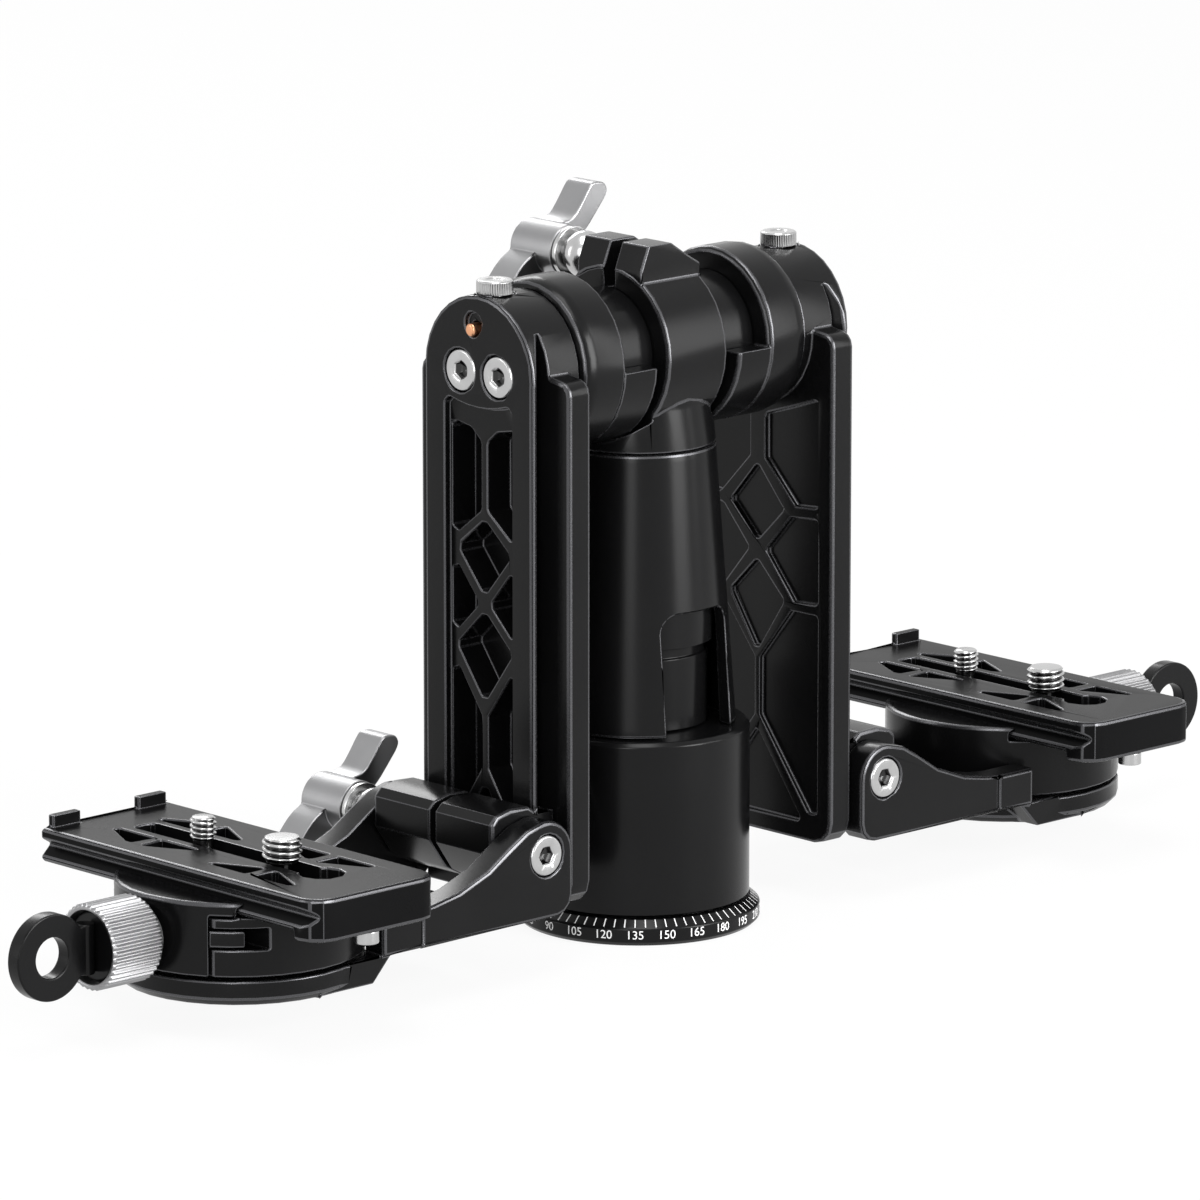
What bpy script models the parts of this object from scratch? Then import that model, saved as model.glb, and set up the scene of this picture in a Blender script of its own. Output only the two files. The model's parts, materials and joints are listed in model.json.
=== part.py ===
"""Gimbal head with two side arms and two folding camera platforms.

Metres, +Z up.  The origin is the middle of the base's underside.  The pan axis is +Z,
the tilt axis runs along X, and the camera plates run along Y.  The two sides mirror
each other in X: each side piece is modelled on the +X side, and the left one is its
mirror image.
"""

import math

import bmesh
import bpy
from mathutils import Matrix, Vector

# Clearances, edges and smoothness
GAP = 0.0003
EDGE = 0.0005
OVERRUN = 0.002
MERGE = 0.000001
LARGE_STEPS = 32
MEDIUM_STEPS = 18
SMALL_STEPS = 10
CORNER_STEPS = 3

# Base and dial
DIAL_RADIUS = 0.0300
DIAL_HEIGHT = 0.0063
DIAL_FOOT = 0.0011
DIAL_BAND = 0.0043
DIAL_SHOULDER = 0.0004
DIAL_SLOPE = 0.0024
BASE_RADIUS = 0.0250
SPINDLE_RADIUS = 0.0117
SPINDLE_TOP = 0.0330
SOCKET_RADIUS = 0.0047625
SOCKET_DEPTH = 0.0160
BEARING_WALL = 0.0034
BEARING_HEIGHT = 0.0060
BEARING_SPACING = 0.0180

# Pan housing, column and post
HOUSING_RADIUS = 0.0274
HOUSING_SEAM = 0.0007
HOUSING_TOP = 0.0501
HOUSING_EDGE = 0.0010
COLUMN_RADIUS = 0.0170
COLUMN_GROOVE_RADIUS = 0.0162
COLUMN_GROOVE_BASE = 0.0683
COLUMN_GROOVE_WIDTH = 0.0027
COLUMN_COLLAR_RADIUS = 0.0184
COLUMN_COLLAR_TOP = 0.0832
COLUMN_STEM_RADIUS = 0.0097
POST_FOOT_RADIUS = 0.0240
POST_FOOT_WALL = 0.0034
POST_TOP_RADIUS = 0.0189
WINDOW_HALF_WIDTH = 0.0107
WINDOW_TOP = 0.0805
WINDOW_ROUND = 0.0048
WINDOW_BACK = 0.0140

# Tilt head; a RISE or a DROP is measured from the tilt axis
TILT_HEIGHT = 0.1433
POST_DROP = 0.0236
NECK_RADIUS = 0.0180
NECK_TAPER = 0.0100
BARREL_RADIUS = 0.0210
BARREL_HALF_LENGTH = 0.0099
SHAFT_RADIUS = 0.0120
BLOCK_HALF_DEPTH = 0.0112
BLOCK_OVER_STUD = 0.0067
BLOCK_SHOULDER_OVER_STUD = 0.0009
BLOCK_BREAK_OVER_STUD = 0.0030
BLOCK_STEEP_RUN = 0.0024
BLOCK_TOP_END = 0.0005
BLOCK_BREAK_X = 0.0061
SLIT_WIDTH = 0.0037
SLIT_UNDER_STUD = 0.0048
BUSH_WALL = 0.0035

# Lock levers, shared by the tilt clamp and the two hinges
CLAMP_STUD_RISE = 0.0200
STUD_RADIUS = 0.0025
STUD_GRIP = 0.0080
LEVER_HUB_RADIUS = 0.0065
LEVER_HUB_LENGTH = 0.0145
LEVER_BORE_DEPTH = 0.0118
LEVER_WING_WIDTH = 0.0090
LEVER_REACH = 0.0213
BALL_RADIUS = 0.0058
BALL_LENGTH = 0.0090
BALL_COLLAR_RADIUS = 0.0063
BALL_COLLAR_LENGTH = 0.0014
BALL_NECK_RADIUS = 0.0040
TILT_LEVER_Y = 0.0245
HINGE_LEVER_Y = 0.0384

# Hubs
HUB_RADIUS = 0.0214
HUB_RIM_X = 0.0238
HUB_LIP_X = 0.0136
HUB_LIP_DROP = 0.0008
HUB_SHOULDER = 0.0040
HUB_SHOULDER_DROP = 0.0022

# Arms
ARM_FACE_X = 0.0531
ARM_BACK_X = 0.0406
ARM_FOOT = 0.0152
BOSS_RADIUS = 0.0191
BOSS_BACK_X = 0.0376
FLANGE_DEPTH = 0.0071
FLANGE_HALF_WIDTH = 0.0262
FLANGE_TOP_RISE = 0.0001
FLANGE_SLOPE = 0.0012
FLANGE_TOP_ROUND = 0.0035
FLANGE_FOOT_ROUND = 0.0060
RAIL_HALF_WIDTH = 0.0190
RAIL_SIDE = 0.0015
DOVETAIL_HALF_WIDTH = 0.0143
DOVETAIL_RISE = 0.0111
FACE_POCKET_HALF_WIDTH = 0.0119
FACE_POCKET_DEPTH = 0.0020
FACE_POCKET_DROP = 0.0068
FACE_POCKET_SAG = 0.0016
FACE_POCKET_FOOT = 0.0240
FACE_POCKET_ROUND = 0.0015
LATTICE_DEPTH = 0.0094
LATTICE_ROUND = 0.0012
LATTICE_SIDE = 0.0112
BACK_POCKET_DEPTH = 0.0014
BACK_POCKET_ROUND = 0.0008
BACK_POCKET_SIDE = 0.0213

# Screws, buttons and pins on the arms
HUB_SCREW_Y = 0.00655
HUB_SCREW_RADIUS = 0.00515
HUB_SCREW_HEAD = 0.0029
HUB_SCREW_SHANK = 0.0020
HUB_SCREW_LENGTH = 0.0190
HEX_RADIUS = 0.0023
HEX_DEPTH = 0.0018
BUTTON_X = 0.0475
BUTTON_RADIUS = 0.00446
BUTTON_HEIGHT = 0.0034
BUTTON_RISE = 0.0224
BUTTON_STEM_RADIUS = 0.0022
BUTTON_STEM_LENGTH = 0.0060
PIN_Y = 0.0017
PIN_RISE = 0.0106
PIN_RADIUS = 0.0016
PIN_LENGTH = 0.0060
PIN_PROUD = 0.0012
PIN_POCKET_RADIUS = 0.0030
PIN_POCKET_RISE = 0.0014
PIN_POCKET_DEPTH = 0.0012

# Slider and hinge
HINGE_X = 0.0574
HINGE_HEIGHT = 0.0305
SLIDER_REACH = 0.0111
SLIDER_RISE = 0.0108
SLIDER_DROP = 0.0100
SLIDER_CLAW_GAP = 0.0005
SLIDER_SLIT = 0.0020
SLIDER_BRIDGE = 0.0016
EAR_RADIUS = 0.0084
CHEEK_OUTER_Y = 0.0288
CHEEK_THICKNESS = 0.0074
CHEEK_END_TO_CLAMP = 0.0190
CHEEK_FOOT = 0.0149
CHEEK_CORNER = 0.0050
CHEEK_TOP = 0.0242
CHEEK_GROOVE_TO_END = 0.0126
CHEEK_GROOVE_WIDTH = 0.0005
CHEEK_GROOVE_DEPTH = 0.0003
HINGE_HEAD_RADIUS = 0.0050
HINGE_HEAD_LENGTH = 0.0030
WEB_TO_HINGE = 0.0146
WEB_TOP = 0.0200

# Round base and rotating clamp
CLAMP_X = 0.1292
CLAMP_Y = 0.0009
CLAMP_RADIUS = 0.0298
CLAMP_BASE_FOOT = 0.0085
CLAMP_BASE_TOP = 0.0146
CLAMP_BASE_EDGE = 0.0018
CLAMP_FLOOR = 0.0150
GUSSET_TO_CLAMP = 0.0226
GUSSET_RUN = 0.0060
PIVOT_RADIUS = 0.0060
PIVOT_HEAD_RADIUS = 0.0090
PIVOT_HEAD_LENGTH = 0.0020
CHANNEL_GAP = 0.0004
JAW_TOP = 0.0335
JAW_SPLIT = 0.0244
JAW_LAYER = 0.0303
FINGER_TOP = 0.0267
FINGER_FOOT = 0.0228
FINGER_REACH = 0.0184
FINGER_POCKET = 0.0136
FINGER_SIDE = 0.0165
FINGER_INSET = 0.0001
KNOB_HEIGHT = 0.0240
KNOB_CLEARANCE = 0.0009
KNOB_LENGTH = 0.0150
KNOB_RADIUS = 0.0104
KNOB_RIDGES = 24
KNURL_DEPTH = 0.0005
KNOB_COLLAR_RADIUS = 0.0072
KNOB_COLLAR_LENGTH = 0.0024
KNOB_RECESS_RADIUS = 0.0088
KNOB_RECESS_DEPTH = 0.0040
CAP_THICKNESS = 0.0020
DRAW_SCREW_LENGTH = 0.0200

# Finger ring on the knob
RING_STANDOFF = 0.0007
RING_ARM = 0.0113
RING_RADIUS = 0.0104
RING_HOLE_RADIUS = 0.0049
RING_THICKNESS = 0.0040
RING_ROOT_RADIUS = 0.0024
RING_ROOT_LENGTH = 0.0115

# Camera plate
PLATE_HALF_WIDTH = 0.0197
PLATE_FRONT_Y = -0.0485
PLATE_BACK_Y = 0.0502
PLATE_TOP = 0.0388
PLATE_LIP = 0.0304
PLATE_LIP_ROUND = 0.0009
PLATE_GROOVE_DEPTH = 0.0025
PLATE_GROOVE_HEIGHT = 0.0346
PLATE_GROOVE_FLAT = 0.0004
PLATE_LIP_DROP = 0.0024
PLATE_BAND_RISE = 0.0015
PLATE_BLOCK_FOOT = 0.0284
PLATE_BLOCK_LENGTH = 0.0080
PLATE_CORNER = 0.0060
TAB_HEIGHT = 0.0030
TAB_THICKNESS = 0.0022
TAB_SHARES = ((-0.91, -0.46), (0.46, 0.90))
SLOT_WIDTH = 0.0066
SLOT_ROUND = 0.0020
SLOT_BACK_Y = 0.0360
KEYHOLE_Y = -0.0284
KEYHOLE_RADIUS = 0.0055
PLATE_POCKET_DEPTH = 0.0042
PLATE_POCKET_ROUND = 0.0008
HEAD_CHANNEL_WIDTH = 0.0140
HEAD_CHANNEL_DEPTH = 0.0025
SAFETY_PIN_Y = -0.0440
SAFETY_PIN_RADIUS = 0.0029
SAFETY_PIN_LENGTH = 0.0031
SAFETY_STEM_RADIUS = 0.0014
SAFETY_STEM_LENGTH = 0.0040

# Camera screws
SCREW_HEAD_RADIUS = 0.0062
SCREW_HEAD_HEIGHT = 0.0019
SCREW_NECK_RADIUS = 0.00245
QUARTER_RADIUS = 0.003175
QUARTER_Y = 0.0139
QUARTER_TOP = 0.0449
QUARTER_THREADS = 4
THREE_EIGHTHS_RADIUS = 0.0047625
THREE_EIGHTHS_Y = -0.0144
THREE_EIGHTHS_TOP = 0.0451
THREE_EIGHTHS_THREADS = 3
THREAD_DEPTH = 0.0006

# Finishes: name, colour, roughness, metallic value
FINISHES = {
    "black": ((0.012, 0.012, 0.013), 0.38, 0.55),
    "dial": ((0.010, 0.010, 0.011), 0.42, 0.50),
    "titanium": ((0.42, 0.42, 0.43), 0.36, 0.95),
    "steel": ((0.70, 0.70, 0.70), 0.24, 1.00),
    "copper": ((0.62, 0.30, 0.14), 0.32, 1.00),
}

# Sizes that follow from those above
UPPER_X = Vector((1, 0, 0))
BEARING_OUTER = SPINDLE_RADIUS + GAP + BEARING_WALL
HOUSING_FOOT = DIAL_HEIGHT + HOUSING_SEAM
POST_FOOT = HOUSING_TOP + GAP
POST_TOP = TILT_HEIGHT - POST_DROP
NECK_FOOT = POST_TOP + GAP
SHAFT_BORE = SHAFT_RADIUS + GAP
BUSH_OUTER = SHAFT_BORE + BUSH_WALL
HUB_CLEARANCE = HUB_RADIUS + GAP
HUB_LIP_TOP = TILT_HEIGHT - HUB_LIP_DROP
CLAMP_STUD_HEIGHT = TILT_HEIGHT + CLAMP_STUD_RISE
BLOCK_TOP = CLAMP_STUD_HEIGHT + BLOCK_OVER_STUD
BLOCK_SHOULDER = CLAMP_STUD_HEIGHT + BLOCK_SHOULDER_OVER_STUD
BLOCK_BREAK_Z = CLAMP_STUD_HEIGHT + BLOCK_BREAK_OVER_STUD
SLIT_FLOOR = CLAMP_STUD_HEIGHT - SLIT_UNDER_STUD
FLANGE_FACE_X = ARM_BACK_X + FLANGE_DEPTH
FLANGE_TOP = TILT_HEIGHT + FLANGE_TOP_RISE
DOVETAIL_RUN_OUT = TILT_HEIGHT + DOVETAIL_RISE
FACE_POCKET_TOP = TILT_HEIGHT - FACE_POCKET_DROP
BUTTON_TOP = TILT_HEIGHT + BUTTON_RISE
PIN_HEIGHT = TILT_HEIGHT + PIN_RISE
SLIDER_FRONT_X = HINGE_X + SLIDER_REACH
SLIDER_CLAW_X = FLANGE_FACE_X + SLIDER_CLAW_GAP
SLIDER_TOP = HINGE_HEIGHT + SLIDER_RISE
SLIDER_FOOT = HINGE_HEIGHT - SLIDER_DROP
CHEEK_INNER_Y = CHEEK_OUTER_Y - CHEEK_THICKNESS
CHEEK_END_X = CLAMP_X - CHEEK_END_TO_CLAMP
CHEEK_GROOVE_X = CHEEK_END_X - CHEEK_GROOVE_TO_END
WEB_START_X = HINGE_X + WEB_TO_HINGE
GUSSET_X = CLAMP_X - GUSSET_TO_CLAMP
SLIDER_HALF_WIDTH = CHEEK_INNER_Y - GAP
CHANNEL_FLOOR = PLATE_LIP - CHANNEL_GAP
JAW_UNDERCUT = PLATE_HALF_WIDTH + GAP
PLATE_GROOVE_X = PLATE_HALF_WIDTH - PLATE_GROOVE_DEPTH
STUD_BORE = STUD_RADIUS + GAP
KNOB_START_X = CLAMP_X + CLAMP_RADIUS + KNOB_CLEARANCE + KNOB_COLLAR_LENGTH
KNOB_END_X = KNOB_START_X + KNOB_LENGTH
RING_HINGE_X = KNOB_END_X + RING_STANDOFF
RING_CENTRE_X = RING_HINGE_X + RING_ARM
TAU = 2 * math.pi

SIDES = (("left", -1), ("right", 1))


def polar(radius, angle, centre=(0, 0)):
    """Point of a circle: centre + radius (cos angle, sin angle)."""
    return (centre[0] + radius * math.cos(angle), centre[1] + radius * math.sin(angle))


def arc(centre, radius, start, end, steps):
    """Points along an arc, both ends included; the angles are in radians."""
    return [polar(radius, start + (end - start) * k / steps, centre) for k in range(steps + 1)]


def rounded(corners, steps=CORNER_STEPS):
    """Outline with rounded corners, from (x, y, radius) or (x, y) corners."""
    points = []
    count = len(corners)
    for index, corner in enumerate(corners):
        here = Vector(corner[:2])
        radius = corner[2] if len(corner) == 3 else 0
        if radius == 0:
            points.append(tuple(here))
            continue
        before = (Vector(corners[index - 1][:2]) - here).normalized()
        after = (Vector(corners[(index + 1) % count][:2]) - here).normalized()
        half = before.angle(after) / 2
        centre = here + (before + after).normalized() * (radius / math.sin(half))
        reach = radius / math.tan(half)
        first = here + before * reach - centre
        last = here + after * reach - centre
        turn = first.angle_signed(last)
        for k in range(steps + 1):
            spoke = first.copy()
            spoke.rotate(Matrix.Rotation(-turn * k / steps, 2))
            points.append(tuple(centre + spoke))
    return points


def mirror_outline(half):
    """Outline closed by the mirror image of its half in the first coordinate."""
    return list(half) + [(-x, y) for x, y in reversed(half)]


def new_collection(name):
    """Collection linked to the scene."""
    collection = bpy.data.collections.new(name)
    bpy.context.scene.collection.children.link(collection)
    return collection


def link(data, collection):
    """Object of some data, linked to a collection."""
    obj = bpy.data.objects.new("work", data)
    collection.objects.link(obj)
    return obj


def clean(mesh):
    """Welds a mesh, joins its flat faces and turns its faces out."""
    work = bmesh.new()
    work.from_mesh(mesh)
    bmesh.ops.remove_doubles(work, verts=work.verts, dist=MERGE)
    bmesh.ops.recalc_face_normals(work, faces=work.faces)
    work.to_mesh(mesh)
    work.free()


def flatten(mesh):
    """Joins the coplanar faces of a mesh into one face each."""
    work = bmesh.new()
    work.from_mesh(mesh)
    bmesh.ops.dissolve_limit(
        work, angle_limit=math.radians(0.05), verts=work.verts, edges=work.edges)
    work.to_mesh(mesh)
    work.free()


def bake(obj, place=None):
    """Plain mesh object made of an object's evaluated shape; the object is removed."""
    depsgraph = bpy.context.evaluated_depsgraph_get()
    mesh = bpy.data.meshes.new_from_object(obj.evaluated_get(depsgraph))
    mesh.transform(obj.matrix_world)
    if place is not None:
        mesh.transform(place)
    clean(mesh)
    baked = link(mesh, obj.users_collection[0])
    bpy.data.objects.remove(obj)
    return baked


def turned(profile, steps=LARGE_STEPS, axis="Z", centre=(0, 0, 0)):
    """Solid turned about an axis through centre, from (radius, height) points."""
    closed = profile[0][0] > 0 or profile[-1][0] > 0
    count = len(profile)
    edges = [(k, k + 1) for k in range(count - 1)]
    if closed:
        edges.append((count - 1, 0))
    mesh = bpy.data.meshes.new("profile")
    mesh.from_pydata([(radius, 0, height) for radius, height in profile], edges, [])
    obj = link(mesh, parts)
    screw = obj.modifiers.new("turn", "SCREW")
    screw.axis = "Z"
    screw.steps = steps
    screw.render_steps = steps
    screw.use_merge_vertices = True
    screw.merge_threshold = MERGE
    turns = {
        "Z": Matrix.Identity(4),
        "X": Matrix.Rotation(math.pi / 2, 4, "Y"),
        "Y": Matrix.Rotation(-math.pi / 2, 4, "X"),
    }
    return bake(obj, Matrix.Translation(Vector(centre)) @ turns[axis])


def rod(radius, start, end, axis="Z", centre=(0, 0, 0), steps=SMALL_STEPS):
    """Plain cylinder along an axis, from start to end."""
    return turned([(0, end), (radius, end), (radius, start), (0, start)], steps, axis, centre)


def prism(outline, start, end, axis="Z", edge=0):
    """Flat outline extruded along an axis, with its rims chamfered by edge.

    The outline's coordinates are (x, y) for Z, (x, z) for Y and (y, z) for X.
    """
    curve = bpy.data.curves.new("outline", "CURVE")
    curve.dimensions = "2D"
    curve.fill_mode = "BOTH"
    curve.extrude = (end - start) / 2
    spline = curve.splines.new("POLY")
    spline.points.add(len(outline) - 1)
    for point, (first, second) in zip(spline.points, outline):
        point.co = (first, second, 0, 1)
    spline.use_cyclic_u = True
    middle = (start + end) / 2
    places = {
        "Z": Matrix.Translation((0, 0, middle)),
        "Y": Matrix.Translation((0, middle, 0)) @ Matrix.Rotation(math.pi / 2, 4, "X"),
        "X": Matrix(((0, 0, 1, middle), (1, 0, 0, 0), (0, 1, 0, 0), (0, 0, 0, 1))),
    }
    solid = bake(link(curve, parts), places[axis])
    flatten(solid.data)
    if edge > 0:
        chamfer_rims(solid.data, "XYZ".index(axis), edge)
    return solid


def chamfer_rims(mesh, axis, edge):
    """Chamfers the edges round the two end faces that look along an axis."""
    work = bmesh.new()
    work.from_mesh(mesh)
    rims = []
    for candidate in work.edges:
        ends = [face for face in candidate.link_faces if abs(face.normal[axis]) > 0.999]
        if len(ends) == 1:
            rims.append(candidate)
    bmesh.ops.bevel(work, geom=rims, offset=edge, segments=1, affect="EDGES", profile=0.5)
    work.to_mesh(mesh)
    work.free()


def block(low, high):
    """Box between two corners."""
    mesh = bpy.data.meshes.new("block")
    work = bmesh.new()
    bmesh.ops.create_cube(work, size=1)
    work.to_mesh(mesh)
    work.free()
    obj = link(mesh, parts)
    size = Vector(high) - Vector(low)
    middle = (Vector(high) + Vector(low)) / 2
    mesh.transform(Matrix.Translation(middle) @ Matrix.Diagonal(size.to_4d()))
    return obj


def combine(target, tool, operation):
    """One Boolean step, applied; the tool is removed."""
    parts.objects.unlink(tool)
    cutters.objects.link(tool)
    tool.hide_render = True
    tool.display_type = "WIRE"
    step = target.modifiers.new(operation.lower(), "BOOLEAN")
    step.operation = operation
    step.solver = "EXACT"
    step.object = tool
    done = bake(target)
    flatten(done.data)
    bpy.data.objects.remove(tool)
    return done


def join(target, *tools):
    """Union of a solid with others."""
    for tool in tools:
        target = combine(target, tool, "UNION")
    return target


def cut(target, *tools):
    """A solid with others taken out of it."""
    for tool in tools:
        target = combine(target, tool, "DIFFERENCE")
    return target


def keep(target, tool):
    """The part of a solid that lies inside another."""
    return combine(target, tool, "INTERSECT")


def hexagon(radius, centre):
    """Outline of a hex socket, a corner on top."""
    return [polar(radius, math.pi / 2 + TAU * k / 6, centre) for k in range(6)]


def mirrored(obj):
    """Mirror image of a solid in the plane X = 0; the solid is removed."""
    mesh = obj.data
    mesh.transform(Matrix.Scale(-1, 4, UPPER_X))
    mesh.flip_normals()
    return obj


def joint_frame(name, place, parent=None):
    """Empty on a joint's axis, parented to the frame that carries it."""
    empty = bpy.data.objects.new(name, None)
    parts.objects.link(empty)
    empty.empty_display_size = DIAL_HEIGHT
    carried = Vector(frames[parent]) if parent else Vector((0, 0, 0))
    frames[name] = place
    empty.location = Vector(place) - carried
    empty.parent = bpy.data.objects[parent] if parent else None


def settle(obj, name, finish, frame):
    """Names a solid, gives it its finish and hangs it from its joint's frame."""
    obj.name = name
    place = Vector(frames[frame])
    obj.data.transform(Matrix.Translation(-place))
    obj.data.name = name
    obj.data.shade_smooth()
    obj.data.set_sharp_from_angle(angle=math.radians(30))
    obj.parent = bpy.data.objects[frame]
    colour, roughness, metallic = FINISHES[finish]
    material = bpy.data.materials.new(name)
    material.use_nodes = True
    shader = material.node_tree.nodes["Principled BSDF"]
    shader.inputs["Base Color"].default_value = (*colour, 1)
    shader.inputs["Roughness"].default_value = roughness
    shader.inputs["Metallic"].default_value = metallic
    obj.data.materials.clear()
    obj.data.materials.append(material)


def settle_side(obj, name, finish, frame, side, sign):
    """Settles a piece modelled on the +X side, mirrored where it is the left one."""
    if sign < 0:
        obj = mirrored(obj)
    settle(obj, name + "_" + side, finish, frame + "_" + side)


def make_base():
    """Base plate with its spindle and tripod socket, the dial ring and the bearings."""
    settle(turned([
        (0, SPINDLE_TOP), (SPINDLE_RADIUS, SPINDLE_TOP), (SPINDLE_RADIUS, DIAL_HEIGHT),
        (BASE_RADIUS, DIAL_HEIGHT), (BASE_RADIUS, 0), (SOCKET_RADIUS, 0),
        (SOCKET_RADIUS, SOCKET_DEPTH), (0, SOCKET_DEPTH)]), "base_plate", "black", "base_frame")
    bore = BASE_RADIUS + GAP
    shoulder = DIAL_RADIUS - DIAL_SHOULDER
    settle(turned([
        (bore, DIAL_HEIGHT), (DIAL_RADIUS - DIAL_SLOPE, DIAL_HEIGHT),
        (shoulder, DIAL_BAND + DIAL_SHOULDER), (DIAL_RADIUS, DIAL_BAND),
        (DIAL_RADIUS, DIAL_FOOT), (DIAL_RADIUS - DIAL_FOOT, 0), (bore, 0)]),
        "dial_ring", "dial", "base_frame")
    for number, name in enumerate(("lower", "upper")):
        foot = DIAL_HEIGHT + GAP + number * BEARING_SPACING
        inner = SPINDLE_RADIUS + GAP
        settle(turned([
            (inner, foot + BEARING_HEIGHT), (BEARING_OUTER, foot + BEARING_HEIGHT),
            (BEARING_OUTER, foot), (inner, foot)], MEDIUM_STEPS),
            "pan_bearing_" + name, "steel", "base_frame")


def make_pan_housing():
    """Turning drum over the spindle."""
    bore = BEARING_OUTER + GAP
    roof = SPINDLE_TOP + GAP
    settle(turned([
        (0, HOUSING_TOP), (HOUSING_RADIUS - HOUSING_EDGE, HOUSING_TOP),
        (HOUSING_RADIUS, HOUSING_TOP - HOUSING_EDGE), (HOUSING_RADIUS, HOUSING_FOOT + EDGE),
        (HOUSING_RADIUS - EDGE, HOUSING_FOOT), (bore, HOUSING_FOOT), (bore, roof), (0, roof)]),
        "pan_housing", "black", "pan_frame")


def make_column():
    """Inner column that stands on the drum inside the post."""
    top = COLUMN_GROOVE_BASE + COLUMN_GROOVE_WIDTH
    settle(turned([
        (0, POST_TOP - GAP), (COLUMN_STEM_RADIUS, POST_TOP - GAP),
        (COLUMN_STEM_RADIUS, COLUMN_COLLAR_TOP), (COLUMN_COLLAR_RADIUS, COLUMN_COLLAR_TOP),
        (COLUMN_COLLAR_RADIUS, top), (COLUMN_GROOVE_RADIUS, top),
        (COLUMN_GROOVE_RADIUS, COLUMN_GROOVE_BASE), (COLUMN_RADIUS, COLUMN_GROOVE_BASE),
        (COLUMN_RADIUS, POST_FOOT), (0, POST_FOOT)]), "inner_column", "black", "pan_frame")


def make_post():
    """Hollow cone with a window in front."""
    bore = COLUMN_STEM_RADIUS + GAP
    collar = COLUMN_COLLAR_RADIUS + GAP
    roof = COLUMN_COLLAR_TOP + GAP
    post = turned([
        (bore, POST_TOP), (POST_TOP_RADIUS, POST_TOP), (POST_FOOT_RADIUS, POST_FOOT),
        (POST_FOOT_RADIUS - POST_FOOT_WALL, POST_FOOT), (collar, roof), (bore, roof)])
    window = prism(rounded([
        (WINDOW_HALF_WIDTH, POST_FOOT - OVERRUN), (-WINDOW_HALF_WIDTH, POST_FOOT - OVERRUN),
        (-WINDOW_HALF_WIDTH, WINDOW_TOP, WINDOW_ROUND),
        (WINDOW_HALF_WIDTH, WINDOW_TOP, WINDOW_ROUND)]),
        -POST_FOOT_RADIUS - OVERRUN, -WINDOW_BACK, "Y")
    settle(cut(post, window), "post", "black", "pan_frame")


def make_tilt_head():
    """Saddle, barrel and split clamp block that hold the tilt shaft."""
    centre = (0, 0, TILT_HEIGHT)
    reach = 2 * BARREL_HALF_LENGTH
    head = turned([
        (0, TILT_HEIGHT), (NECK_RADIUS, TILT_HEIGHT), (NECK_RADIUS, NECK_FOOT + NECK_TAPER),
        (POST_TOP_RADIUS, NECK_FOOT), (0, NECK_FOOT)])
    for sign in (-1, 1):
        near, far = sorted((sign * BARREL_HALF_LENGTH, sign * (POST_TOP_RADIUS + OVERRUN)))
        head = cut(head, rod(HUB_CLEARANCE, near, far, "X", centre, LARGE_STEPS))
    side = BARREL_RADIUS - EDGE
    end = BARREL_HALF_LENGTH - EDGE
    barrel = turned([
        (0, BARREL_HALF_LENGTH), (side, BARREL_HALF_LENGTH), (BARREL_RADIUS, end),
        (BARREL_RADIUS, -end), (side, -BARREL_HALF_LENGTH), (0, -BARREL_HALF_LENGTH)],
        LARGE_STEPS, "X", centre)
    edge = BARREL_HALF_LENGTH - GAP / 2
    clamp = prism([
        (-edge, TILT_HEIGHT), (edge, TILT_HEIGHT), (edge, BLOCK_SHOULDER),
        (BLOCK_BREAK_X, BLOCK_BREAK_Z), (BLOCK_TOP_END, BLOCK_TOP),
        (BLOCK_STEEP_RUN - edge, BLOCK_TOP), (-edge, BLOCK_SHOULDER)],
        -BLOCK_HALF_DEPTH, BLOCK_HALF_DEPTH, "Y")
    head = join(head, barrel, clamp)
    slit = block((-reach, -SLIT_WIDTH / 2, SLIT_FLOOR), (reach, SLIT_WIDTH / 2, BLOCK_TOP + OVERRUN))
    stud_hole = rod(
        STUD_BORE, -STUD_GRIP - GAP, BLOCK_HALF_DEPTH + OVERRUN, "Y", (0, 0, CLAMP_STUD_HEIGHT))
    bore = rod(SHAFT_BORE, -reach, reach, "X", centre, MEDIUM_STEPS)
    seat = rod(
        BALL_COLLAR_RADIUS + GAP, BLOCK_HALF_DEPTH, TILT_LEVER_Y, "Y", (0, 0, CLAMP_STUD_HEIGHT),
        MEDIUM_STEPS)
    settle(cut(head, bore, slit, stud_hole, seat), "tilt_head", "black", "pan_frame")


def stud(centre, start, end):
    """Threaded rod that a lock lever turns on."""
    return rod(STUD_RADIUS, start, end, "Y", centre)


def ball_washer(centre, start, end):
    """Round washer between a clamp and its lever, from the clamp's face to the hub."""
    ball_start = end - BALL_LENGTH
    middle = (ball_start + end - BALL_COLLAR_LENGTH) / 2
    collar = end - BALL_COLLAR_LENGTH
    reach = collar - middle
    bulge = [
        (math.sqrt(BALL_RADIUS ** 2 - (share * reach) ** 2), middle + share * reach)
        for share in (0.85, 0.3, -0.3, -0.85)]
    return turned([
        (STUD_BORE, end), (BALL_COLLAR_RADIUS, end), (BALL_COLLAR_RADIUS, collar),
        *bulge, (BALL_NECK_RADIUS, ball_start), (BALL_NECK_RADIUS, start), (STUD_BORE, start)],
        MEDIUM_STEPS, "Y", centre)


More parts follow.
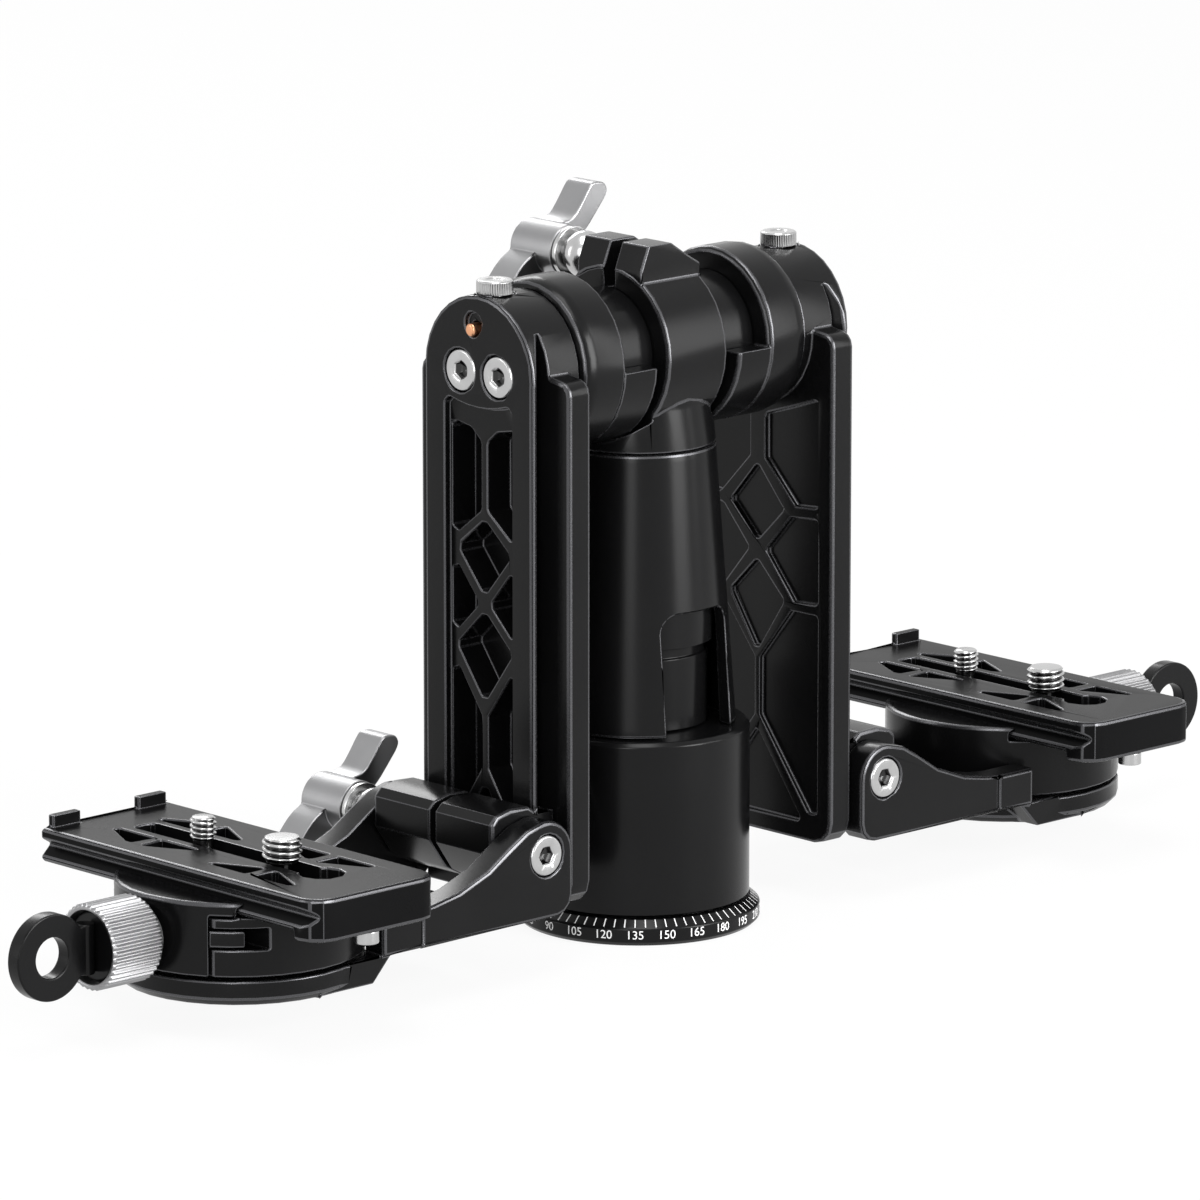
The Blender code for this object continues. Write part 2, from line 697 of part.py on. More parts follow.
def lock_lever(centre, start):
    """Two-winged lever: a hub with a blind bore and two opposite wings."""
    end = start + LEVER_HUB_LENGTH
    inner = end - LEVER_WING_WIDTH
    hub = turned([
        (0, end), (LEVER_HUB_RADIUS - EDGE, end), (LEVER_HUB_RADIUS, end - EDGE),
        (LEVER_HUB_RADIUS, start + EDGE), (LEVER_HUB_RADIUS - EDGE, start), (0, start)],
        MEDIUM_STEPS, "Y", centre)
    # The upper wing's outline, as shares of the lever's reach.
    wing_shares = (
        (0.30, 0.02), (0.54, 0.146), (0.817, 0.465), (0.86, 0.55), (0.82, 0.66), (0.737, 0.69),
        (0.62, 0.69), (0.568, 0.657), (0.437, 0.469), (0.277, 0.277), (0.10, 0.265))
    upper = [
        (centre[0] + LEVER_REACH * x, centre[2] + LEVER_REACH * z) for x, z in wing_shares]
    lower = [(2 * centre[0] - x, 2 * centre[2] - z) for x, z in upper]
    wings = prism(upper + lower, inner, end - GAP / 2, "Y")
    bore = rod(STUD_BORE, start - OVERRUN, start + LEVER_BORE_DEPTH, "Y", centre, SMALL_STEPS)
    return cut(join(hub, wings), bore)


def make_tilt_clamp():
    """Stud, washer and lever that close the tilt head's slit."""
    centre = (0, 0, CLAMP_STUD_HEIGHT)
    stud_end = TILT_LEVER_Y + LEVER_BORE_DEPTH - GAP
    settle(stud(centre, -STUD_GRIP, stud_end), "tilt_clamp_stud", "steel", "pan_frame")
    washer = ball_washer(centre, BLOCK_HALF_DEPTH + GAP, TILT_LEVER_Y - GAP)
    settle(washer, "tilt_clamp_washer", "steel", "pan_frame")
    settle(lock_lever(centre, TILT_LEVER_Y), "tilt_lever", "titanium", "tilt_lever_frame")


def make_tilt_shaft():
    """Shaft through the tilt head, with the screw holes in its ends."""
    end = BOSS_BACK_X - GAP
    hole_start = ARM_FACE_X - HUB_SCREW_LENGTH - GAP
    shaft = rod(SHAFT_RADIUS, -end, end, "X", (0, 0, TILT_HEIGHT), MEDIUM_STEPS)
    for sign in (-1, 1):
        for y in (-HUB_SCREW_Y, HUB_SCREW_Y):
            near, far = sorted((sign * hole_start, sign * (end + OVERRUN)))
            hole = rod(HUB_SCREW_SHANK + GAP, near, far, "X", (0, y, TILT_HEIGHT))
            shaft = cut(shaft, hole)
    settle(shaft, "tilt_shaft", "steel", "tilt_frame")


def tilt_bush():
    """Bush between the tilt head and a hub."""
    start = BARREL_HALF_LENGTH + GAP
    end = HUB_RIM_X - GAP
    return turned([
        (SHAFT_BORE, end), (BUSH_OUTER, end), (BUSH_OUTER, start), (SHAFT_BORE, start)],
        MEDIUM_STEPS, "X", (0, 0, TILT_HEIGHT))


def hub():
    """Hub on the shaft, with a half-round lip below that reaches towards the head."""
    centre = (0, 0, TILT_HEIGHT)
    end = BOSS_BACK_X - GAP
    rim = HUB_RADIUS - 2 * EDGE
    # A quarter of an ellipse, from the hub's end face to its full radius.
    shoulder = [
        (HUB_RADIUS - HUB_SHOULDER_DROP * (1 - r), end - HUB_SHOULDER * (1 - x))
        for x, r in arc((0, 0), 1, 0, math.pi / 2, CORNER_STEPS)]
    drum = turned(
        [(SHAFT_BORE, end)] + shoulder
        + [(HUB_RADIUS, HUB_RIM_X + 2 * EDGE), (rim, HUB_RIM_X), (SHAFT_BORE, HUB_RIM_X)],
        LARGE_STEPS, "X", centre)
    lip = turned([
        (BUSH_OUTER + GAP, HUB_RIM_X + EDGE), (HUB_RADIUS - GAP, HUB_RIM_X + 2 * EDGE),
        (HUB_RADIUS, HUB_RIM_X), (HUB_RADIUS, HUB_LIP_X + EDGE), (HUB_RADIUS - EDGE, HUB_LIP_X),
        (BUSH_OUTER + GAP, HUB_LIP_X)], LARGE_STEPS, "X", centre)
    reach = HUB_RADIUS + OVERRUN
    lip = keep(lip, block(
        (HUB_LIP_X - OVERRUN, -reach, TILT_HEIGHT - reach), (end, reach, HUB_LIP_TOP)))
    return join(drum, lip)


def flange_outline():
    """Plate behind the rail, (y, z): round lower corners and sloped shoulders."""
    wide = FLANGE_HALF_WIDTH
    narrow = BOSS_RADIUS - FLANGE_SLOPE
    return rounded([
        (-wide, ARM_FOOT, FLANGE_FOOT_ROUND), (wide, ARM_FOOT, FLANGE_FOOT_ROUND),
        (wide, FLANGE_TOP, FLANGE_TOP_ROUND), (narrow, FLANGE_TOP + FLANGE_SLOPE),
        (-narrow, FLANGE_TOP + FLANGE_SLOPE), (-wide, FLANGE_TOP, FLANGE_TOP_ROUND)])


def rail_outline(margin=0):
    """Dovetail rail in plan, (x, y), widened by a margin on its outer faces."""
    side_x = ARM_FACE_X - RAIL_SIDE - margin
    face_x = ARM_FACE_X + margin
    half = [
        (FLANGE_FACE_X - EDGE, DOVETAIL_HALF_WIDTH + margin),
        (FLANGE_FACE_X, DOVETAIL_HALF_WIDTH + margin),
        (side_x, RAIL_HALF_WIDTH + margin),
        (face_x - EDGE, RAIL_HALF_WIDTH + margin),
        (face_x, RAIL_HALF_WIDTH + margin - EDGE)]
    return half + [(x, -y) for x, y in reversed(half)]


def arm_height(share):
    """Height on the arm's lattice: 0 at the arm's foot, 1 at the tilt axis."""
    return ARM_FOOT + share * (TILT_HEIGHT - ARM_FOOT)


def lattice_outlines(side, upright, tables):
    """Closed (y, z) outlines of a lattice's holes, from shares of its half width and height.

    Points with a side share of 1 lie on the pocket's side; each outline off the middle
    has its mirror image too. upright is the half width of the middle rib.
    """
    outlines = []
    for middle, shares in tables:
        half = [(upright if y == 0 and not middle else y * side, arm_height(z)) for y, z in shares]
        if middle:
            outlines.append(half + [(-y, z) for y, z in reversed(half) if y > 0])
        else:
            outlines.append(half)
            outlines.append([(-y, z) for y, z in reversed(half)])
    return outlines


# Lattice holes: True for one across the middle, then its points as shares.
FACE_LATTICE_SHARES = (
    (False, ((0, 0.737), (1, 0.678), (1, 0.900), (0.42, 0.891), (0, 0.868))),
    (True, ((0, 0.574), (0.83, 0.658), (0, 0.719))),
    (False, ((0.17, 0.557), (1, 0.488), (1, 0.641))),
    (True, ((0, 0.369), (0.87, 0.471), (0, 0.542))),
    (False, ((0, 0.241), (1, 0.125), (1, 0.449), (0, 0.341))),
    (True, ((0.80, 0.092), (0, 0.215))),
)
BACK_LATTICE_SHARES = (
    (False, ((0.127, 0.741), (0.624, 0.657), (1, 0.661), (1, 0.875), (0.55, 0.850), (0.127, 0.828))),
    (True, ((0, 0.575), (0.441, 0.646), (0, 0.728))),
    (False, ((0.136, 0.558), (0.61, 0.467), (1, 0.471), (1, 0.639), (0.563, 0.635))),
    (True, ((0, 0.358), (0.446, 0.467), (0, 0.539))),
    (False, ((0.042, 0.230), (0.86, 0.055), (1, 0.057), (1, 0.451), (0.563, 0.450), (0.042, 0.344))),
    (True, ((0.77, 0.037), (0, 0.205))),
)


def lattice_cutters(shares, side, upright, radius, start, end, steps):
    """One prism for each hole of a lattice."""
    tools = []
    for outline in lattice_outlines(side, upright, shares):
        corners = [(y, z, radius) for y, z in outline]
        tools.append(prism(rounded(corners, steps), start, end, "X"))
    return tools


def face_pocket():
    """Shallow pocket along the rail's face; its top edge sags in the middle."""
    wide = FACE_POCKET_HALF_WIDTH
    half = wide - FACE_POCKET_ROUND
    radius = (half ** 2 + FACE_POCKET_SAG ** 2) / (2 * FACE_POCKET_SAG)
    spread = math.asin(half / radius)
    top = arc(
        (0, FACE_POCKET_TOP + radius - FACE_POCKET_SAG), radius,
        -math.pi / 2 + spread, -math.pi / 2 - spread, 6)
    outline = (
        [(-wide, FACE_POCKET_FOOT), (wide, FACE_POCKET_FOOT),
         (wide, FACE_POCKET_TOP - FACE_POCKET_ROUND)] + top
        + [(-wide, FACE_POCKET_TOP - FACE_POCKET_ROUND)])
    return prism(outline, ARM_FACE_X - FACE_POCKET_DEPTH, ARM_FACE_X + OVERRUN, "X")


def arm():
    """Side arm: dovetail rail with a lattice, flange behind it and boss on top."""
    centre = (0, 0, TILT_HEIGHT)
    body = prism(flange_outline(), ARM_BACK_X, FLANGE_FACE_X, "X", EDGE)
    rail = prism(rail_outline(), ARM_FOOT + EDGE, TILT_HEIGHT, "Z")
    boss = turned([
        (0, ARM_FACE_X), (BOSS_RADIUS - EDGE, ARM_FACE_X), (BOSS_RADIUS, ARM_FACE_X - EDGE),
        (BOSS_RADIUS, BOSS_BACK_X), (0, BOSS_BACK_X)], LARGE_STEPS, "X", centre)
    slope = (RAIL_HALF_WIDTH - DOVETAIL_HALF_WIDTH) / (
        ARM_FACE_X - RAIL_SIDE - FLANGE_FACE_X)
    reach = BOSS_RADIUS + EDGE
    tip = FLANGE_FACE_X + (reach - DOVETAIL_HALF_WIDTH) / slope
    for sign in (-1, 1):
        notch = [
            (FLANGE_FACE_X, sign * DOVETAIL_HALF_WIDTH), (tip, sign * reach),
            (FLANGE_FACE_X, sign * reach)]
        boss = cut(boss, prism(notch, TILT_HEIGHT - reach, DOVETAIL_RUN_OUT, "Z"))
    body = join(body, rail, boss)
    floor = ARM_FACE_X - LATTICE_DEPTH
    body = cut(body, face_pocket(), *lattice_cutters(
        FACE_LATTICE_SHARES, LATTICE_SIDE, LATTICE_ROUND, LATTICE_ROUND, floor,
        ARM_FACE_X + OVERRUN, 1))
    body = cut(body, *lattice_cutters(
        BACK_LATTICE_SHARES, BACK_POCKET_SIDE, EDGE, BACK_POCKET_ROUND,
        ARM_BACK_X - OVERRUN, ARM_BACK_X + BACK_POCKET_DEPTH, 1))
    for y in (-HUB_SCREW_Y, HUB_SCREW_Y):
        place = (0, y, TILT_HEIGHT)
        seat = ARM_FACE_X - HUB_SCREW_HEAD - GAP
        body = cut(
            body,
            rod(HUB_SCREW_RADIUS + GAP, seat, ARM_FACE_X + OVERRUN, "X", place, MEDIUM_STEPS),
            rod(HUB_SCREW_SHANK + GAP, BOSS_BACK_X - OVERRUN, seat + EDGE, "X", place))
    boss_top = TILT_HEIGHT + BOSS_RADIUS
    button_place = (BUTTON_X, 0, 0)
    stem_foot = BUTTON_TOP - BUTTON_HEIGHT - BUTTON_STEM_LENGTH - GAP
    body = cut(
        body,
        rod(BUTTON_RADIUS + GAP, BUTTON_TOP - BUTTON_HEIGHT - GAP, boss_top + OVERRUN, "Z",
            button_place, MEDIUM_STEPS),
        rod(BUTTON_STEM_RADIUS + GAP, stem_foot, boss_top + OVERRUN, "Z", button_place))
    pin_floor = ARM_FACE_X + PIN_PROUD - PIN_LENGTH - GAP
    return cut(
        body,
        rod(PIN_POCKET_RADIUS, ARM_FACE_X - PIN_POCKET_DEPTH, ARM_FACE_X + OVERRUN, "X",
            (0, PIN_Y, PIN_HEIGHT + PIN_POCKET_RISE)),
        rod(PIN_RADIUS + GAP, pin_floor, ARM_FACE_X + OVERRUN, "X", (0, PIN_Y, PIN_HEIGHT)))


def hub_screw(y):
    """Flush screw with a hex socket, through the arm into the shaft."""
    face = ARM_FACE_X - GAP / 2
    under = ARM_FACE_X - HUB_SCREW_HEAD
    place = (0, y, TILT_HEIGHT)
    screw = turned([
        (0, face), (HUB_SCREW_RADIUS, face), (HUB_SCREW_RADIUS, under), (HUB_SCREW_SHANK, under),
        (HUB_SCREW_SHANK, ARM_FACE_X - HUB_SCREW_LENGTH), (0, ARM_FACE_X - HUB_SCREW_LENGTH)],
        MEDIUM_STEPS, "X", place)
    socket = prism(hexagon(HEX_RADIUS, (y, TILT_HEIGHT)), face - HEX_DEPTH, face + OVERRUN, "X")
    return cut(screw, socket)


def top_button():
    """Flat button on the boss, on a stem."""
    under = BUTTON_TOP - BUTTON_HEIGHT
    foot = under - BUTTON_STEM_LENGTH
    return turned([
        (0, BUTTON_TOP), (BUTTON_RADIUS - EDGE, BUTTON_TOP), (BUTTON_RADIUS, BUTTON_TOP - EDGE),
        (BUTTON_RADIUS, under), (BUTTON_STEM_RADIUS, under), (BUTTON_STEM_RADIUS, foot),
        (0, foot)], MEDIUM_STEPS, "Z", (BUTTON_X, 0, 0))


def stop_pin():
    """Pin that stands out of the rail's face above the screws."""
    end = ARM_FACE_X + PIN_PROUD
    return rod(PIN_RADIUS, end - PIN_LENGTH, end, "X", (0, PIN_Y, PIN_HEIGHT))


def make_yoke_sides():
    """Everything that turns with the tilt shaft on each side."""
    for side, sign in SIDES:
        settle_side(tilt_bush(), "tilt_bush", "black", "pan_side_frame", side, sign)
        settle_side(hub(), "hub", "black", "arm_frame", side, sign)
        settle_side(arm(), "arm", "black", "arm_frame", side, sign)
        for name, y in (("front", -HUB_SCREW_Y), ("back", HUB_SCREW_Y)):
            settle_side(hub_screw(y), "hub_screw_" + name, "steel", "arm_frame", side, sign)
        settle_side(top_button(), "top_button", "steel", "arm_frame", side, sign)
        settle_side(stop_pin(), "stop_pin", "copper", "arm_frame", side, sign)


def slider():
    """Split block that rides the rail and forms the hinge's knuckle."""
    back = ARM_FACE_X + GAP
    depth = SLIDER_FRONT_X - back
    rise = SLIDER_TOP - SLIDER_FOOT
    # The knuckle's side view, as shares of its depth and height.
    side_shares = (
        (0, 0), (0.30, 0), (0.66, 0.14), (1, 0.50), (1, 0.86), (0.87, 0.95), (0.58, 1),
        (0.18, 0.985), (0, 0.90))
    outline = [(back + depth * x, SLIDER_FOOT + rise * z) for x, z in side_shares]
    wide = SLIDER_HALF_WIDTH
    body = prism(outline, -wide, wide, "Y", EDGE)
    claw_top = outline[-1][1]
    claws = block((SLIDER_CLAW_X, -wide, SLIDER_FOOT), (back + EDGE, wide, claw_top))
    body = join(body, claws)
    rail = prism(rail_outline(GAP), SLIDER_FOOT - OVERRUN, SLIDER_TOP + OVERRUN, "Z")
    slit = block(
        (back + SLIDER_BRIDGE, -SLIDER_SLIT / 2, SLIDER_FOOT - OVERRUN),
        (SLIDER_FRONT_X + OVERRUN, SLIDER_SLIT / 2, SLIDER_TOP + OVERRUN))
    bore = rod(STUD_BORE, -wide - OVERRUN, wide + OVERRUN, "Y", (HINGE_X, 0, HINGE_HEIGHT))
    return cut(body, rail, slit, bore)


def bracket_outline():
    """Side view of a cheek, (x, z): a round ear and an S-shaped top edge."""
    start = HINGE_X - EAR_RADIUS
    ear = arc((HINGE_X, HINGE_HEIGHT), EAR_RADIUS, math.pi, math.radians(70), 8)
    length = CHEEK_END_X - HINGE_X
    rise = HINGE_HEIGHT + EAR_RADIUS - CHEEK_TOP
    # The top edge from the ear to the flat end, as shares of its length and rise.
    top_shares = ((0.12, 0.905), (0.225, 0.69), (0.36, 0.38), (0.54, 0.135), (0.70, 0.03), (0.80, 0))
    top = [(HINGE_X + length * x, CHEEK_TOP + rise * z) for x, z in top_shares]
    foot = arc(
        (start + CHEEK_CORNER, CHEEK_FOOT + CHEEK_CORNER), CHEEK_CORNER,
        1.5 * math.pi, math.pi, CORNER_STEPS)
    return ear + top + [(CHEEK_END_X, CHEEK_TOP), (CHEEK_END_X, CHEEK_FOOT)] + foot


def bracket():
    """Hinged bracket: two cheeks, the web between them and the clamp's round base."""
    body = prism(bracket_outline(), -CHEEK_OUTER_Y, CHEEK_OUTER_Y, "Y", EDGE)
    start = HINGE_X - EAR_RADIUS - OVERRUN
    inner = CHEEK_INNER_Y
    top = HINGE_HEIGHT + EAR_RADIUS + OVERRUN
    body = cut(
        body,
        block((start, -inner, CHEEK_FOOT - OVERRUN), (WEB_START_X, inner, top)),
        block((WEB_START_X - OVERRUN, -inner, WEB_TOP), (CHEEK_END_X + OVERRUN, inner, top)))
    disc_foot = CLAMP_RADIUS - CLAMP_BASE_EDGE
    raw_top = CLAMP_BASE_TOP + EDGE
    disc = turned([
        (0, raw_top), (CLAMP_RADIUS, raw_top),
        (CLAMP_RADIUS, CLAMP_BASE_FOOT + CLAMP_BASE_EDGE), (disc_foot, CLAMP_BASE_FOOT),
        (0, CLAMP_BASE_FOOT)], LARGE_STEPS, "Z", (CLAMP_X, CLAMP_Y, 0))
    gusset = prism([
        (GUSSET_X, raw_top), (GUSSET_X + GUSSET_RUN, CLAMP_BASE_FOOT + EDGE / 2),
        (CLAMP_X, CLAMP_BASE_FOOT + EDGE / 2), (CLAMP_X, raw_top)],
        2 * EDGE - CHEEK_OUTER_Y, CHEEK_OUTER_Y - 2 * EDGE, "Y")
    body = join(body, gusset, disc)
    place = (CLAMP_X, CLAMP_Y, 0)
    turning = rod(CLAMP_RADIUS + GAP, CLAMP_BASE_TOP, top, "Z", place, LARGE_STEPS)
    pivot = rod(
        PIVOT_RADIUS + GAP, CLAMP_BASE_FOOT - OVERRUN, CLAMP_FLOOR, "Z", place, MEDIUM_STEPS)
    head_top = CLAMP_BASE_FOOT + PIVOT_HEAD_LENGTH + 2 * GAP
    head = rod(
        PIVOT_HEAD_RADIUS + GAP, CLAMP_BASE_FOOT - OVERRUN, head_top, "Z", place, MEDIUM_STEPS)
    hinge = (HINGE_X, 0, HINGE_HEIGHT)
    bolt = rod(STUD_BORE, -CHEEK_OUTER_Y - OVERRUN, CHEEK_OUTER_Y + OVERRUN, "Y", hinge)
    seat = rod(
        HINGE_HEAD_RADIUS + GAP, -CHEEK_OUTER_Y - OVERRUN,
        HINGE_HEAD_LENGTH + GAP - CHEEK_OUTER_Y, "Y", hinge, MEDIUM_STEPS)
    body = cut(body, turning, pivot, head, bolt, seat)
    for sign in (-1, 1):
        near, far = sorted((
            sign * (CHEEK_OUTER_Y - CHEEK_GROOVE_DEPTH), sign * (CHEEK_OUTER_Y + OVERRUN)))
        body = cut(body, block(
            (CHEEK_GROOVE_X, near, CHEEK_FOOT - OVERRUN),
            (CHEEK_GROOVE_X + CHEEK_GROOVE_WIDTH, far, CHEEK_TOP + OVERRUN)))
    return body


def hinge_bolt():
    """Bolt through the hinge, its head flush in the front cheek."""
    face = -CHEEK_OUTER_Y
    place = (HINGE_X, 0, HINGE_HEIGHT)
    under = face + HINGE_HEAD_LENGTH
    end = HINGE_LEVER_Y + LEVER_BORE_DEPTH - GAP
    bolt = turned([
        (0, end), (STUD_RADIUS, end), (STUD_RADIUS, under), (HINGE_HEAD_RADIUS, under),
        (HINGE_HEAD_RADIUS, face), (0, face)], MEDIUM_STEPS, "Y", place)
    socket = prism(
        hexagon(HEX_RADIUS, (HINGE_X, HINGE_HEIGHT)), face - OVERRUN, face + HEX_DEPTH, "Y")
    return cut(bolt, socket)


def clamp_pivot():
    """Headed pivot that carries the rotating clamp on the round base."""
    foot = CLAMP_BASE_FOOT + GAP
    step = foot + PIVOT_HEAD_LENGTH
    top = CLAMP_FLOOR + GAP
    return turned([
        (0, top), (PIVOT_RADIUS, top), (PIVOT_RADIUS, step), (PIVOT_HEAD_RADIUS, step),
        (PIVOT_HEAD_RADIUS, foot), (0, foot)], MEDIUM_STEPS, "Z", (CLAMP_X, CLAMP_Y, 0))


def clamp_disc(foot, top, radius=CLAMP_RADIUS):
    """Full disc of the clamp, with a chamfered top edge."""
    return turned([
        (0, top), (radius - EDGE, top), (radius, top - EDGE), (radius, foot), (0, foot)],
        LARGE_STEPS, "Z", (CLAMP_X, CLAMP_Y, 0))


def plate_channel():
    """Room for the camera plate between the jaws, dovetailed like the plate."""
    low = PLATE_GROOVE_HEIGHT - PLATE_GROOVE_FLAT / 2
    slope = PLATE_LIP_DROP / PLATE_GROOVE_DEPTH
    throat = PLATE_GROOVE_X + 2 * GAP
    half = [
        (JAW_UNDERCUT, CHANNEL_FLOOR), (JAW_UNDERCUT, low - PLATE_LIP_DROP),
        (throat, low - slope * 2 * GAP), (throat, JAW_TOP + OVERRUN)]
    reach = CLAMP_RADIUS + OVERRUN
    outline = [(CLAMP_X + x, z) for x, z in mirror_outline(half)]
    return prism(outline, CLAMP_Y - reach, CLAMP_Y + reach, "Y")


def clamp_half(low_x, high_x, foot, top):
    """Box between two distances from the clamp's axis, wider than the clamp."""
    reach = CLAMP_RADIUS + OVERRUN
    return block(
        (CLAMP_X + low_x, CLAMP_Y - reach, foot), (CLAMP_X + high_x, CLAMP_Y + reach, top))


def finger_block(start, end, foot, top, sign, margin):
    """Box round a guide finger at one end of the jaw, out to the rim, wider by a margin."""
    rim = CLAMP_Y + sign * (CLAMP_RADIUS + OVERRUN)
    inner = CLAMP_Y + sign * (CLAMP_RADIUS - FINGER_SIDE - margin)
    near, far = sorted((inner, rim))
    return block((CLAMP_X + start, near, foot), (CLAMP_X + end, far, top))


def clamp_body():
    """Rotating clamp with the fixed jaw on the arm's side."""
    foot = CLAMP_FLOOR + 2 * GAP
    reach = CLAMP_RADIUS + OVERRUN
    body = cut(
        clamp_disc(foot, JAW_TOP), plate_channel(),
        clamp_half(JAW_SPLIT - 2 * GAP, reach, foot - OVERRUN, JAW_TOP + OVERRUN),
        clamp_half(JAW_UNDERCUT - GAP, reach, JAW_LAYER - 2 * GAP, JAW_TOP + OVERRUN),
        clamp_half(0, reach, CHANNEL_FLOOR + GAP, JAW_TOP + OVERRUN))
    for sign in (-1, 1):
        body = cut(body, finger_block(
            FINGER_POCKET, JAW_SPLIT, FINGER_FOOT - 2 * GAP, FINGER_TOP + 2 * GAP, sign, GAP))
    bore = rod(
        STUD_BORE, KNOB_START_X - KNOB_COLLAR_LENGTH - DRAW_SCREW_LENGTH - 2 * GAP,
        KNOB_START_X, "X", (0, 0, KNOB_HEIGHT))
    return cut(body, bore)


def clamp_jaw():
    """Movable jaw on the knob's side, with a guide finger at each end."""
    foot = CLAMP_FLOOR + 2 * GAP
    disc = clamp_disc(foot, JAW_TOP)
    reach = CLAMP_RADIUS + OVERRUN
    jaw = cut(
        disc, plate_channel(), clamp_half(-reach, 0, CHANNEL_FLOOR - EDGE, JAW_TOP + OVERRUN),
        clamp_half(-reach, JAW_UNDERCUT + GAP, foot - OVERRUN, CHANNEL_FLOOR + EDGE))
    below = clamp_half(JAW_UNDERCUT, JAW_SPLIT, foot - OVERRUN, JAW_LAYER)
    fingers = [
        finger_block(FINGER_REACH, JAW_SPLIT + EDGE, FINGER_FOOT, FINGER_TOP, sign, -GAP)
        for sign in (-1, 1)]
    rim = clamp_disc(foot, JAW_TOP, CLAMP_RADIUS - FINGER_INSET)
    fingers = [keep(finger, copied(rim)) for finger in fingers]
    bpy.data.objects.remove(rim)
    jaw = join(cut(jaw, below), *fingers)
    bore = rod(STUD_BORE, CLAMP_X, KNOB_START_X, "X", (0, 0, KNOB_HEIGHT))
    return cut(jaw, bore)


def copied(obj):
    """Second object with its own copy of a mesh."""
    return link(obj.data.copy(), parts)


def clamp_knob():
    """Ridged knob with a collar towards the jaw and a recess in its outer end."""
    place = (0, 0, KNOB_HEIGHT)
    outline = []
    for k in range(2 * KNOB_RIDGES):
        radius = KNOB_RADIUS - (k % 2) * KNURL_DEPTH
        outline.append(polar(radius, TAU * k / (2 * KNOB_RIDGES), (0, KNOB_HEIGHT)))
    grip = prism(outline, KNOB_START_X, KNOB_END_X, "X")
    collar = rod(
        KNOB_COLLAR_RADIUS, KNOB_START_X - KNOB_COLLAR_LENGTH, KNOB_START_X + EDGE, "X", place,
        MEDIUM_STEPS)
    recess = rod(
        KNOB_RECESS_RADIUS, KNOB_END_X - KNOB_RECESS_DEPTH, KNOB_END_X + OVERRUN, "X", place,
        MEDIUM_STEPS)
    return cut(join(grip, collar), recess)


def knob_cap():
    """Disc in the knob's recess, behind the finger ring's root."""
    start = KNOB_END_X - KNOB_RECESS_DEPTH + GAP
    radius = KNOB_RECESS_RADIUS - GAP
    return rod(radius, start, start + CAP_THICKNESS, "X", (0, 0, KNOB_HEIGHT), MEDIUM_STEPS)


def knob_ring():
    """Finger ring that folds about its upright root."""
    centre = (RING_CENTRE_X, 0, KNOB_HEIGHT)
    thick = RING_THICKNESS / 2
    disc = turned([
        (0, thick), (RING_RADIUS - EDGE, thick), (RING_RADIUS, thick - EDGE),
        (RING_RADIUS, EDGE - thick), (RING_RADIUS - EDGE, -thick), (0, -thick)],
        MEDIUM_STEPS, "Y", centre)
    half = RING_ROOT_LENGTH / 2
    neck = block(
        (RING_HINGE_X, -thick, KNOB_HEIGHT - half), (RING_CENTRE_X - RING_HOLE_RADIUS - EDGE,
        thick, KNOB_HEIGHT + half))
    root = rod(
        RING_ROOT_RADIUS, KNOB_HEIGHT - half - GAP, KNOB_HEIGHT + half + GAP, "Z",
        (RING_HINGE_X, 0, 0))
    hole = rod(RING_HOLE_RADIUS, -thick - OVERRUN, thick + OVERRUN, "Y", centre, MEDIUM_STEPS)
    return cut(join(disc, neck, root), hole)


def draw_screw():
    """Screw that draws the movable jaw in."""
    end = KNOB_START_X - KNOB_COLLAR_LENGTH - GAP
    return rod(STUD_RADIUS, end - DRAW_SCREW_LENGTH, end, "X", (0, 0, KNOB_HEIGHT))


# Pockets on each side of the plate's slot, as shares of its half width and of its length
# from the front.
PLATE_POCKET_SHARES = (
    ((0.305, 0.871), (0.386, 0.873), (0.695, 0.745), (0.305, 0.737)),
    ((0.305, 0.712), (0.690, 0.706), (0.386, 0.581), (0.305, 0.581)),
    ((0.685, 0.457), (0.610, 0.457), (0.315, 0.327), (0.685, 0.327)),
    ((0.685, 0.299), (0.295, 0.299), (0.600, 0.167), (0.685, 0.167)),
)


def plate_groove(sign):
    """V-groove along one side of the plate, which runs out in its round front corner."""
    low = PLATE_GROOVE_HEIGHT - PLATE_GROOVE_FLAT / 2
    high = PLATE_GROOVE_HEIGHT + PLATE_GROOVE_FLAT / 2
    extra = EDGE / PLATE_GROOVE_DEPTH
    outer = PLATE_HALF_WIDTH + EDGE
    points = [
        (PLATE_GROOVE_X, low), (PLATE_GROOVE_X, high),
        (outer, high + PLATE_BAND_RISE * (1 + extra)), (outer, low - PLATE_LIP_DROP * (1 + extra))]
    points = [(CLAMP_X + sign * x, z) for x, z in points]
    return prism(points, PLATE_FRONT_Y - OVERRUN, PLATE_BACK_Y + OVERRUN, "Y")


def plate_pocket_outline(shares, sign):
    """Rounded (x, y) outline of one pocket beside the slot."""
    length = PLATE_BACK_Y - PLATE_FRONT_Y
    return rounded([
        (CLAMP_X + sign * PLATE_HALF_WIDTH * x, PLATE_FRONT_Y + length * y, PLATE_POCKET_ROUND)
        for x, y in shares], 2)


